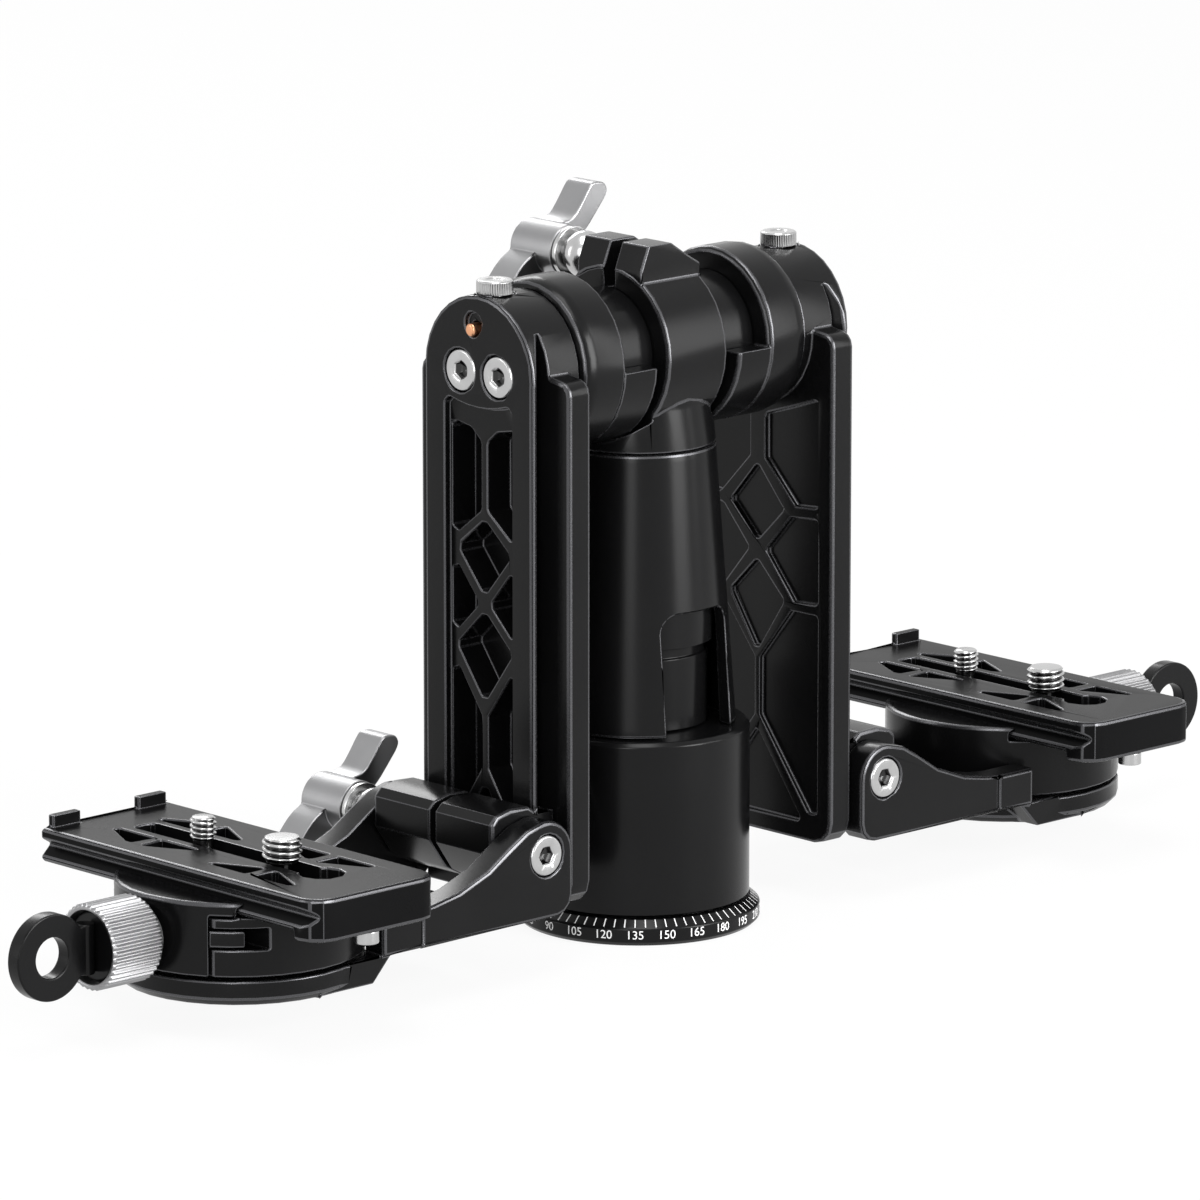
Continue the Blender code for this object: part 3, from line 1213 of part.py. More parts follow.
def camera_plate():
    """Dovetail plate with an end block, two stop tabs, a slot and pockets."""
    wide = PLATE_HALF_WIDTH
    body = prism(rounded([
        (CLAMP_X - wide, PLATE_FRONT_Y, PLATE_CORNER), (CLAMP_X + wide, PLATE_FRONT_Y, PLATE_CORNER),
        (CLAMP_X + wide, PLATE_BACK_Y), (CLAMP_X - wide, PLATE_BACK_Y)]),
        PLATE_BLOCK_FOOT, PLATE_TOP, "Z", EDGE)
    outer = wide + OVERRUN
    half = [
        (outer, PLATE_BLOCK_FOOT - OVERRUN), (outer, PLATE_LIP + PLATE_LIP_ROUND + OVERRUN),
        (wide - PLATE_LIP_ROUND, PLATE_LIP)]
    under = prism(
        [(CLAMP_X + x, z) for x, z in mirror_outline(half)],
        PLATE_FRONT_Y + PLATE_BLOCK_LENGTH, PLATE_BACK_Y + OVERRUN, "Y")
    body = cut(body, under, plate_groove(-1), plate_groove(1))
    for start, end in TAB_SHARES:
        tab = block(
            (CLAMP_X + wide * start, PLATE_BACK_Y - TAB_THICKNESS, PLATE_TOP - 2 * EDGE),
            (CLAMP_X + wide * end, PLATE_BACK_Y - EDGE / 2, PLATE_TOP + TAB_HEIGHT))
        body = join(body, tab)
    side = SLOT_WIDTH / 2
    slot = prism(rounded([
        (CLAMP_X - side, KEYHOLE_Y), (CLAMP_X + side, KEYHOLE_Y),
        (CLAMP_X + side, SLOT_BACK_Y, SLOT_ROUND), (CLAMP_X - side, SLOT_BACK_Y, SLOT_ROUND)]),
        PLATE_LIP - OVERRUN, PLATE_TOP + OVERRUN, "Z")
    keyhole = rod(
        KEYHOLE_RADIUS, PLATE_LIP - OVERRUN, PLATE_TOP + OVERRUN, "Z",
        (CLAMP_X, KEYHOLE_Y, 0))
    channel = HEAD_CHANNEL_WIDTH / 2
    heads = block(
        (CLAMP_X - channel, KEYHOLE_Y - KEYHOLE_RADIUS - EDGE, PLATE_LIP - OVERRUN),
        (CLAMP_X + channel, SLOT_BACK_Y + side, PLATE_LIP + HEAD_CHANNEL_DEPTH))
    body = cut(body, slot, keyhole, heads)
    floor = PLATE_TOP - PLATE_POCKET_DEPTH
    for shares in PLATE_POCKET_SHARES:
        for sign in (-1, 1):
            outline = plate_pocket_outline(shares, sign)
            body = cut(body, prism(outline, floor, PLATE_TOP + OVERRUN, "Z"))
    stem = rod(
        SAFETY_STEM_RADIUS + GAP, PLATE_BLOCK_FOOT - OVERRUN,
        PLATE_BLOCK_FOOT + SAFETY_STEM_LENGTH, "Z", (CLAMP_X, SAFETY_PIN_Y, 0))
    return cut(body, stem)


def safety_pin():
    """Stop pin under the plate's end block."""
    top = PLATE_BLOCK_FOOT - GAP
    stem_top = PLATE_BLOCK_FOOT + SAFETY_STEM_LENGTH - GAP
    foot = top - SAFETY_PIN_LENGTH
    return turned([
        (0, stem_top), (SAFETY_STEM_RADIUS, stem_top), (SAFETY_STEM_RADIUS, top),
        (SAFETY_PIN_RADIUS, top), (SAFETY_PIN_RADIUS, foot), (0, foot)],
        SMALL_STEPS, "Z", (CLAMP_X, SAFETY_PIN_Y, 0))


def camera_screw(radius, y, top, threads):
    """Captive camera screw: head under the plate, neck in the slot, ridged thread above."""
    head_foot = PLATE_LIP + GAP
    head_top = head_foot + SCREW_HEAD_HEIGHT
    start = PLATE_TOP + GAP
    pitch = (top - start) / threads
    profile = [(0, top), (radius - THREAD_DEPTH, top)]
    for k in range(threads):
        crest = top - (k + 0.5) * pitch
        profile.append((radius, crest))
        profile.append((radius - THREAD_DEPTH, crest - pitch / 2))
    profile += [
        (SCREW_NECK_RADIUS, start), (SCREW_NECK_RADIUS, head_top),
        (SCREW_HEAD_RADIUS, head_top), (SCREW_HEAD_RADIUS, head_foot), (0, head_foot)]
    return turned(profile, SMALL_STEPS, "Z", (CLAMP_X, y, 0))


def make_platforms():
    """Slider, hinged bracket, rotating clamp and camera plate on each side."""
    hinge = (HINGE_X, 0, HINGE_HEIGHT)
    pieces = (
        ("slider", slider, "black", "slider_frame"),
        ("bracket", bracket, "black", "fold_frame"),
        ("hinge_bolt", hinge_bolt, "steel", "fold_frame"),
        ("hinge_washer", lambda: ball_washer(hinge, CHEEK_OUTER_Y + GAP, HINGE_LEVER_Y - GAP),
         "steel", "fold_frame"),
        ("clamp_pivot", clamp_pivot, "steel", "clamp_frame"),
        ("clamp_body", clamp_body, "black", "clamp_frame"),
        ("clamp_jaw", clamp_jaw, "black", "jaw_frame"),
        ("clamp_knob", clamp_knob, "titanium", "knob_frame"),
        ("knob_cap", knob_cap, "black", "knob_frame"),
        ("draw_screw", draw_screw, "steel", "knob_frame"),
        ("knob_ring", knob_ring, "black", "ring_frame"),
        ("camera_plate", camera_plate, "black", "plate_frame"),
        ("safety_pin", safety_pin, "steel", "plate_frame"),
        ("screw_quarter", lambda: camera_screw(
            QUARTER_RADIUS, QUARTER_Y, QUARTER_TOP, QUARTER_THREADS), "steel", "quarter_frame"),
        ("screw_three_eighths", lambda: camera_screw(
            THREE_EIGHTHS_RADIUS, THREE_EIGHTHS_Y, THREE_EIGHTHS_TOP, THREE_EIGHTHS_THREADS),
         "steel", "three_eighths_frame"),
    )
    for side, sign in SIDES:
        for name, make, finish, frame in pieces:
            settle_side(make(), name, finish, frame, side, sign)
        # The lever keeps its hand, so the left one is made in place and not mirrored.
        lever = lock_lever((sign * HINGE_X, 0, HINGE_HEIGHT), HINGE_LEVER_Y)
        settle(lever, "hinge_lever_" + side, "titanium", "lever_frame_" + side)


def make_frames():
    """Empties on the joints' axes, each carried by the one before it."""
    joint_frame("base_frame", (0, 0, 0))
    joint_frame("pan_frame", (0, 0, HOUSING_FOOT), "base_frame")
    joint_frame("tilt_lever_frame", (0, TILT_LEVER_Y, CLAMP_STUD_HEIGHT), "pan_frame")
    joint_frame("tilt_frame", (0, 0, TILT_HEIGHT), "pan_frame")
    for side, sign in SIDES:
        x = sign * HINGE_X
        clamp_x = sign * CLAMP_X
        places = (
            ("pan_side_frame", (0, 0, TILT_HEIGHT), "pan_frame"),
            ("arm_frame", (0, 0, TILT_HEIGHT), "tilt_frame"),
            ("slider_frame", (sign * ARM_FACE_X, 0, HINGE_HEIGHT), "arm_frame_" + side),
            ("fold_frame", (x, 0, HINGE_HEIGHT), "slider_frame_" + side),
            ("lever_frame", (x, HINGE_LEVER_Y, HINGE_HEIGHT), "fold_frame_" + side),
            ("clamp_frame", (clamp_x, CLAMP_Y, CLAMP_FLOOR), "fold_frame_" + side),
            ("jaw_frame", (sign * KNOB_START_X, 0, KNOB_HEIGHT), "clamp_frame_" + side),
            ("knob_frame", (sign * KNOB_START_X, 0, KNOB_HEIGHT), "jaw_frame_" + side),
            ("ring_frame", (sign * RING_HINGE_X, 0, KNOB_HEIGHT), "knob_frame_" + side),
            ("plate_frame", (clamp_x, 0, PLATE_TOP), "clamp_frame_" + side),
            ("quarter_frame", (clamp_x, QUARTER_Y, PLATE_TOP), "plate_frame_" + side),
            ("three_eighths_frame", (clamp_x, THREE_EIGHTHS_Y, PLATE_TOP), "plate_frame_" + side),
        )
        for name, place, parent in places:
            joint_frame(name + "_" + side, place, parent)


for old in list(bpy.data.objects):
    bpy.data.objects.remove(old)
parts = new_collection("gimbal_head")
cutters = new_collection("cutters")
frames = {}
make_frames()
make_base()
make_pan_housing()
make_column()
make_post()
make_tilt_head()
make_tilt_clamp()
make_tilt_shaft()
make_yoke_sides()
make_platforms()
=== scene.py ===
"""Fine surfaces and finishes for a gimbal head with two folding camera platforms.

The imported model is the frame, in metres: +Z is the pan axis, the tilt shaft runs along X
and the camera plates run along Y.  The two sides mirror each other in X, so a side piece
is worked out on the +X side and mirrored for the left.  Turned, ridged and threaded
pieces are numpy surfaces, some joined or cut by a Boolean; most milled pieces are the
frame's own forms with rounded edges.
"""

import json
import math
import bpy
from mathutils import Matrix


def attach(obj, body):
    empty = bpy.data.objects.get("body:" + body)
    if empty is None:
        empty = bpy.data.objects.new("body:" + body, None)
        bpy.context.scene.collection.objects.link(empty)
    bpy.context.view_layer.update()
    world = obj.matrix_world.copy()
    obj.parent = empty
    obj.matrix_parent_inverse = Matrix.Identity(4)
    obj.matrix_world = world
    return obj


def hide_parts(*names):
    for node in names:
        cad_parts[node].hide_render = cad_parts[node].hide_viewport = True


bl_info = {
    "name": "Gimbal Head",
    "version": (1, 0, 0),
    "blender": (4, 5, 0),
    "location": "3D View > Sidebar > Gimbal",
    "description": "Gives the packed gimbal head its fine surfaces, finishes and stage",
    "category": "Object",
}

import bmesh
import bpy
import numpy as np
from bpy.props import FloatProperty, FloatVectorProperty, IntProperty, PointerProperty
from mathutils import Euler, Vector

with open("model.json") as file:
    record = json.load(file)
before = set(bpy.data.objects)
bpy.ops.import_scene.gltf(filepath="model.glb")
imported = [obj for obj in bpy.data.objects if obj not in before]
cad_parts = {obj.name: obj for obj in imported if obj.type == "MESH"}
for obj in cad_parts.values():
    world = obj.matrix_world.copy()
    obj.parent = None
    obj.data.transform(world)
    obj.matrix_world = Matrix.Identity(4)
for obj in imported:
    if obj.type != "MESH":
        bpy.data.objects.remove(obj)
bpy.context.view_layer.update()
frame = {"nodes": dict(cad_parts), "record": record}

MM = 0.001
WELD = 1e-6
TAU = 2 * math.pi
SIDES = (("left", -1), ("right", 1))
RECORD = frame["record"]
BODY_OF = {
    node: body for body, nodes in RECORD["behaviour"]["bodies"].items() for node in nodes}

# Places of the axes, in millimetres
TILT_HEIGHT = 143.3
STUD_HEIGHT = 163.3
HINGE_X, HINGE_HEIGHT = 57.4, 30.5
CLAMP_X = 129.2
KNOB_HEIGHT = 24.0
RING_ROOT_X, RING_X = 178.0, 189.3
BUTTON_X = 47.5
STOP_PIN = (0, 1.7, 153.9)
HUB_SCREW_Y = 6.55
SAFETY_PIN_Y = -44.0

# Along Y, in millimetres: where a lever starts, and the clamp's face behind its washer
TILT_LEVER_START, TILT_CLAMP_FACE = 24.5, 11.5
HINGE_LEVER_START, HINGE_FACE = 38.4, 29.1

# The dial's slope carries its lines and its rim the numbers, in millimetres
DIAL_LINES = 72
SLOPE_RADIUS = 28.8
SLOPE_LOW, SLOPE_HIGH = 4.72, 6.22
NUMBER_RADIUS, NUMBER_BASELINE = 30.02, 1.9
NUMBER_STEP = 15
DIGIT_SHARE = 0.70

# Camera screws: name, place along Y, radius, top and pitch, in millimetres
CAMERA_SCREWS = (
    ("quarter", 13.9, 3.175, 44.9, 1.27),
    ("three_eighths", -14.4, 4.7625, 45.1, 1.5875))

# Lamps: name, place and sides in metres, and power in watts
LAMPS = (
    ("top", (-0.2, -0.3, 1.6), (0.5, 1.2), 12.0),
    ("left", (-1.30, -0.95, 0.45), (0.35, 1.3), 9.0),
    ("right", (0.46, -1.53, 0.45), (0.65, 1.3), 36.0),
    ("side", (1.2, -1.3, 0.6), (0.25, 1.4), 7.0),
    ("flank", (-1.5, 1.0, 0.5), (0.25, 1.2), 5.0),
    ("back", (0.7, 1.5, 1.0), (1.0, 0.4), 8.0))


class GimbalSizes(bpy.types.PropertyGroup):
    """Sizes of the fine details."""

    edge: FloatProperty(
        name="Edge", description="Width of the rounded edges of milled pieces",
        default=0.45 * MM, min=0.05 * MM, max=MM, unit="LENGTH")
    steps: IntProperty(
        name="Steps", description="Faces round a large turned piece",
        default=160, min=24, max=360)
    tick_width: FloatProperty(
        name="Tick width", description="Width of the dial's lines", default=0.28 * MM,
        min=0.1 * MM, max=MM, unit="LENGTH")
    number_height: FloatProperty(
        name="Number height", description="Height of the dial's numbers", default=2.1 * MM,
        min=MM, max=3 * MM, unit="LENGTH")
    knob_ridges: IntProperty(
        name="Knob ridges", description="Ridges round each clamp knob",
        default=38, min=12, max=72)
    button_ridges: IntProperty(
        name="Button ridges", description="Ridges round each top button",
        default=48, min=12, max=72)


class GimbalColours(bpy.types.PropertyGroup):
    """Colours of the finishes."""

    black: FloatVectorProperty(
        name="Black", description="Anodised body", subtype="COLOR",
        default=(0.0035, 0.0035, 0.0037))
    mark: FloatVectorProperty(
        name="Marks", description="Dial lines and numbers", subtype="COLOR",
        default=(0.8, 0.8, 0.8))
    titanium: FloatVectorProperty(
        name="Titanium", description="Levers and knobs", subtype="COLOR",
        default=(0.30, 0.30, 0.305))
    steel: FloatVectorProperty(
        name="Steel", description="Screws and buttons", subtype="COLOR",
        default=(0.50, 0.50, 0.50))
    copper: FloatVectorProperty(
        name="Copper", description="Stop pins", subtype="COLOR",
        default=(0.72, 0.36, 0.20))
    floor: FloatVectorProperty(
        name="Floor", description="Studio floor", subtype="COLOR",
        default=(0.9, 0.9, 0.9))


class Value:
    """A socket whose arithmetic adds Math nodes to the finish that it belongs to."""

    def __init__(self, finish, socket):
        self.finish = finish
        self.socket = socket

    def math(self, operation, *others):
        """A Math node whose first input is this value."""
        return self.finish.node(
            "ShaderNodeMath", {"operation": operation}, dict(enumerate((self, *others))))

    def __add__(self, other):
        return self.math("ADD", other)

    def __sub__(self, other):
        return self.math("SUBTRACT", other)

    def __rsub__(self, other):
        return self * -1.0 + other

    def __mul__(self, other):
        return self.math("MULTIPLY", other)

    def __truediv__(self, other):
        return self.math("DIVIDE", other)

    def __lt__(self, other):
        return self.math("LESS_THAN", other)

    def __gt__(self, other):
        return self.math("GREATER_THAN", other)

    __radd__ = __add__
    __rmul__ = __mul__


class Finish:
    """A material with one Principled shader, built up node by node."""

    def __init__(self, name, colour, roughness, metallic, specular=0.5):
        self.material = bpy.data.materials.new(name)
        self.material.use_nodes = True
        self.tree = self.material.node_tree
        self.shader = self.tree.nodes["Principled BSDF"]
        self.set("Base Color", (*colour, 1))
        self.set("Roughness", roughness)
        self.set("Metallic", metallic)
        self.set("Specular IOR Level", specular)
        self.rim = None

    def set(self, name, value):
        self.feed(self.shader.inputs[name], value)

    def feed(self, socket, value):
        if isinstance(value, Value):
            self.tree.links.new(value.socket, socket)
        else:
            socket.default_value = value

    def node(self, kind, settings, inputs, output=0):
        """Adds a node: its settings first, then its inputs; gives one of its outputs."""
        made = self.tree.nodes.new(kind)
        for key, value in settings.items():
            setattr(made, key, value)
        for key, value in inputs.items():
            self.feed(made.inputs[key], value)
        return Value(self, made.outputs[output])

    def place(self):
        return self.node("ShaderNodeTexCoord", {}, {}, "Object")

    def axes(self, centre=(0, 0, 0)):
        """The three object coordinates, measured from a centre."""
        moved = self.node(
            "ShaderNodeVectorMath", {"operation": "SUBTRACT"}, {0: self.place(), 1: centre})
        split = self.node("ShaderNodeSeparateXYZ", {}, {0: moved})
        return [Value(self, split.socket.node.outputs[k]) for k in range(3)]

    def noise(self, scale, detail=2.0):
        """Noise of a number of cells per metre, from 0 to 1."""
        return self.node(
            "ShaderNodeTexNoise", {}, {"Vector": self.place(), "Scale": scale, "Detail": detail})

    def lines(self, position, density):
        """Noise along one measured distance, as fine turning marks."""
        return self.node(
            "ShaderNodeTexNoise", {"noise_dimensions": "1D"},
            {"W": position * density, "Scale": 1.0, "Detail": 2.0})

    def mix(self, factor, first, second):
        """Colour between a first one, which may be a value, and a second one."""
        start = (*first, 1) if isinstance(first, tuple) else first
        return self.node(
            "ShaderNodeMix", {"data_type": "RGBA"}, {0: factor, 6: start, 7: (*second, 1)}, 2)

    def bump(self, height, distance, strength):
        """Relief of a height from 0 to 1 over a distance in metres."""
        self.set("Normal", self.node(
            "ShaderNodeBump", {}, {"Height": height, "Distance": distance, "Strength": strength}))


def scaled(colour, factor):
    return tuple(min(1.0, channel * factor) for channel in colour)


def anodised(name, specular=0.16, roughness=0.18):
    """Satin black: bead-blasted grain, with faint clouds in its gloss."""
    colour = tuple(bpy.context.scene.gimbal_colours.black)
    finish = Finish(name, colour, roughness, 0.0, specular)
    grain = finish.noise(2600.0)
    clouds = finish.noise(45.0, 3.0)
    finish.set("Base Color", finish.mix(clouds, scaled(colour, 0.75), scaled(colour, 1.35)))
    finish.set("Roughness", roughness + grain * 0.05 + clouds * 0.04)
    finish.bump(grain, 0.006 * MM, 0.4)
    return finish


def milled_black(name, specular=0.16, roughness=0.18):
    """Satin black whose rounded edges take a brighter, glossier colour: a painted highlight."""
    finish = anodised(name, specular, roughness)
    # Painted highlight: the rounded edges get a colour 22 times the black, metallic and glossier.
    colour = scaled(tuple(bpy.context.scene.gimbal_colours.black), 22)
    painted_highlight_rim = Finish(name + "_rim", colour, 0.3, 0.8, 0.5)
    painted_highlight_rim.set("Roughness", 0.22 + painted_highlight_rim.noise(900.0) * 0.1)
    finish.rim = painted_highlight_rim.material
    return finish


def dial_black(name):
    """Satin black with a white line every five degrees on the dial's slope."""
    sizes = bpy.context.scene.gimbal_sizes
    colours = bpy.context.scene.gimbal_colours
    finish = anodised(name)
    x, y, z = finish.axes()
    step = TAU / DIAL_LINES
    phase = (y.math("ARCTAN2", x) / step + 0.5).math("FRACT")
    across = (phase - 0.5).math("ABSOLUTE")
    half_width = sizes.tick_width / 2 / (step * SLOPE_RADIUS * MM)
    line = (across < half_width) * (z > SLOPE_LOW * MM) * (z < SLOPE_HIGH * MM)
    colour = tuple(colours.black)
    finish.set("Base Color", finish.mix(line, colour, tuple(colours.mark)))
    return finish


def turned_metal(name, colour, roughness, centre, axis, painted_shade_pit=None):
    """Turned metal: fine rings round an axis, seen in its gloss and relief.

    The last argument, a (radius, distance) in millimetres, darkens the colour within that radius
    of the axis and that distance of the centre: a painted shade for a socket's hollow or between
    threads.
    """
    finish = Finish(name, colour, roughness, 1.0)
    axes = finish.axes(tuple(MM * value for value in centre))
    distance = axes.pop(axis)
    radius = (axes[0] * axes[0] + axes[1] * axes[1]).math("SQRT")
    rings = finish.lines(radius + distance, 9000.0)
    clouds = finish.noise(300.0)
    shade = finish.mix(clouds, scaled(colour, 0.90), scaled(colour, 1.06))
    if painted_shade_pit:
        # Painted shade: the colour is darkened in a socket's hollow or between threads.
        painted_shade_mask = (radius < painted_shade_pit[0] * MM) * (distance.math("ABSOLUTE") < painted_shade_pit[1] * MM)
        shade = finish.mix(painted_shade_mask, shade, scaled(colour, 0.10))
    finish.set("Base Color", shade)
    finish.set("Roughness", roughness - 0.06 + rings * 0.12)
    finish.bump(rings, 0.006 * MM, 0.35)
    return finish


def satin_titanium(name):
    """Grey anodised levers and knobs with a fine blasted grain."""
    colour = tuple(bpy.context.scene.gimbal_colours.titanium)
    finish = Finish(name, colour, 0.34, 1.0)
    grain = finish.noise(3200.0)
    clouds = finish.noise(120.0, 3.0)
    finish.set("Base Color", finish.mix(clouds, scaled(colour, 0.88), scaled(colour, 1.10)))
    finish.set("Roughness", 0.29 + grain * 0.10)
    finish.bump(grain, 0.010 * MM, 0.5)
    return finish


def filleted(profile, radius, closed=False):
    """Profile with its inner corners rounded.

    Each corner becomes a quadratic curve through points a + t (b - a) blended with
    b + t (c - b), where a and c lie one radius from the corner b, or just under half
    the way to its neighbour.
    """
    points = np.array(profile, float)
    count = len(points)
    made = []
    t = np.linspace(0, 1, 4)[:, None]
    for k in range(count):
        if not closed and k in (0, count - 1):
            made.append(points[k:k + 1])
            continue
        here = points[k]
        ends = []
        for other in (points[k - 1], points[(k + 1) % count]):
            way = other - here
            length = np.linalg.norm(way)
            ends.append(here + way / length * min(radius, 0.45 * length))
        made.append((1 - t) ** 2 * ends[0] + 2 * t * (1 - t) * here + t ** 2 * ends[1])
    return np.concatenate(made)


def chaikin(points):
    """Closed outline with its corners cut twice: each edge keeps its quarter points."""
    points = np.array(points, float)
    for _ in range(2):
        after = np.roll(points, -1, 0)
        points = np.stack([points * 0.75 + after * 0.25, points * 0.25 + after * 0.75], 1)
        points = points.reshape(-1, 2)
    return points


def grid_faces(rows, columns, loop):
    """Quads of a grid whose columns close on themselves, and its rows if loop is set."""
    row = np.arange(rows if loop else rows - 1)[:, None]
    column = np.arange(columns)[None, :]
    after = (column + 1) % columns
    above = (row + 1) % rows
    quads = np.stack(np.broadcast_arrays(
        row * columns + column, row * columns + after,
        above * columns + after, above * columns + column), -1)
    return quads.reshape(-1, 4).tolist()


def piece_of(name, points, faces):
    """Mesh object in millimetres made metres, with its doubles merged and faces out."""
    mesh = bpy.data.meshes.new(name)
    mesh.from_pydata((points.reshape(-1, 3) * MM).tolist(), [], faces)
    work = bmesh.new()
    work.from_mesh(mesh)
    bmesh.ops.remove_doubles(work, verts=work.verts, dist=WELD)
    bmesh.ops.recalc_face_normals(work, faces=work.faces)
    work.to_mesh(mesh)
    work.free()
    mesh.shade_smooth()
    obj = bpy.data.objects.new(name, mesh)
    bpy.context.scene.collection.objects.link(obj)
    return obj


def along(axis, first, second, height, centre):
    """Points with a plane's two coordinates and a height, turned to an axis."""
    order = {"X": (height, first, second), "Y": (second, height, first),
             "Z": (first, second, height)}[axis]
    return np.stack(np.broadcast_arrays(*order), -1) + np.array(centre, float)


def lathe(name, radii, heights, axis="Z", centre=(0, 0, 0), loop=False):
    """Surface round an axis: the point of row i, column j is at the angle of column j,
    at radii[i, j] from the axis and heights[i] along it."""
    columns = radii.shape[1]
    angle = np.arange(columns) * TAU / columns
    points = along(
        axis, radii * np.cos(angle), radii * np.sin(angle), np.array(heights)[:, None], centre)
    return piece_of(name, points, grid_faces(len(heights), columns, loop))


def turned(name, profile, axis="Z", centre=(0, 0, 0), steps=None, radius=0.2):
    """Surface of revolution of a profile of (radius, height) points, corners rounded."""
    closed = profile[0][0] > 0
    steps = steps or bpy.context.scene.gimbal_sizes.steps
    rows = filleted(profile, radius, closed=closed)
    radii = np.repeat(rows[:, :1], steps, 1)
    return lathe(name, radii, rows[:, 1], axis, centre, loop=closed)


def slab(name, outline, start, end, edge):
    """Flat piece: a closed outline carried along Y from start to end, its rims rounded.

    A rim's row at angle a lies edge (1 - sin a) inside the outline and edge (1 - cos a)
    from the end face.
    """
    outline = np.array(outline, float)
    tangent = np.roll(outline, -1, 0) - np.roll(outline, 1, 0)
    normal = np.stack([tangent[:, 1], -tangent[:, 0]], 1)
    normal /= np.linalg.norm(normal, axis=1)[:, None]
    turn = np.linspace(0, math.pi / 2, 4)
    inset = edge * (1 - np.sin(turn))
    rise = edge * (1 - np.cos(turn))
    inset = np.concatenate([inset, inset[::-1]])
    level = np.concatenate([start + rise, (end - rise)[::-1]])
    flat = outline[None] - inset[:, None, None] * normal[None]
    rows, columns = flat.shape[:2]
    points = along("Y", flat[..., 1], flat[..., 0], level[:, None], (0, 0, 0))
    faces = grid_faces(rows, columns, False)
    faces.append(list(range(columns))[::-1])
    faces.append([(rows - 1) * columns + k for k in range(columns)])
    return piece_of(name, points, faces)


def mirrored(obj):
    """The piece mirrored in the plane X = 0."""
    count = len(obj.data.vertices)
    places = np.empty(count * 3)
    obj.data.vertices.foreach_get("co", places)
    places[::3] *= -1
    obj.data.vertices.foreach_set("co", places)
    obj.data.flip_normals()
    obj.data.update()
    return obj


def carved(target, tool, operation="DIFFERENCE"):
    """The target with a tool taken out of it or joined to it; the tool goes."""
    step = target.modifiers.new("carve", "BOOLEAN")
    step.operation = operation
    step.solver = "EXACT"
    step.object = tool
    depsgraph = bpy.context.evaluated_depsgraph_get()
    mesh = bpy.data.meshes.new_from_object(target.evaluated_get(depsgraph))
    target.modifiers.clear()
    target.data = mesh
    bpy.data.objects.remove(tool)
    return target


def refined(name, node):
    """Copy of a frame node's shape, with its triangles welded."""
    mesh = frame["nodes"][node].data.copy()
    mesh.name = name
    work = bmesh.new()
    work.from_mesh(mesh)
    bmesh.ops.remove_doubles(work, verts=work.verts, dist=WELD)
    work.to_mesh(mesh)
    work.free()
    mesh.shade_smooth()
    obj = bpy.data.objects.new(name, mesh)
    bpy.context.scene.collection.objects.link(obj)
    return obj


def rounded_edges(obj, width=None, angle=28):
    """Rounds the sharp edges of a piece and keeps its flat faces flat in the light."""
    bevel = obj.modifiers.new("edges", "BEVEL")
    bevel.width = width or bpy.context.scene.gimbal_sizes.edge
    bevel.segments = 2
    bevel.limit_method = "ANGLE"
    bevel.angle_limit = math.radians(angle)
    bevel.use_clamp_overlap = False
    bevel.miter_outer = "MITER_ARC"
    bevel.material = 1
    return obj


def dress(obj, node, finish):
    """Gives a finished piece its finish, body, slot and the frame node that it stands for."""
    weighted = obj.modifiers.new("shading", "WEIGHTED_NORMAL")
    weighted.keep_sharp = True
    obj.data.materials.clear()
    obj.data.materials.append(finish.material)
    # The rounded edges take a second slot: for milled pieces a brighter colour, a painted
    # highlight.
    if "edges" in obj.modifiers:
        obj.data.materials.append(finish.rim or finish.material)
    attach(obj, BODY_OF[node])
    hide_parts(node)


def dress_sides(make, name, node, finish):
    """Makes a side piece for each side, the left one mirrored."""
    for side, sign in SIDES:
        obj = make(name + "_" + side)
        if sign < 0:
            obj = mirrored(obj)
        dress(obj, node + "_" + side, finish(sign))


def hex_rows(radius, columns):
    """Distance of a regular hexagon's edge from its middle, round a turn."""
    angle = np.arange(columns) * TAU / columns
    return radius * math.cos(math.pi / 6) / np.cos(
        (angle + math.pi / 6) % (math.pi / 3) - math.pi / 6)


def socket_screw(name, rows, hex_radius, hex_floor, hex_mouth, axis, centre):
    """Turned screw head whose first rows form a hexagonal socket.

    rows are the (radius, height) points from the socket's mouth outwards.
    """
    columns = 96
    ring = np.ones(columns)
    hexagon = hex_rows(hex_radius, columns)
    profile = filleted(rows, 0.15)
    heights = [hex_floor - 0.5 * np.sign(hex_mouth - hex_floor), hex_floor, hex_mouth]
    radii = [0 * ring, hexagon, hexagon]
    radii += [ring * row[0] for row in profile]
    heights += [row[1] for row in profile]
    return lathe(name, np.array(radii), heights, axis, centre)


def turned_steel(name, centre, axis, painted_shade_pit=None):
    """Steel finish of a turned piece at a place."""
    colour = tuple(bpy.context.scene.gimbal_colours.steel)
    return turned_metal(name, colour, 0.22, centre, axis, painted_shade_pit)


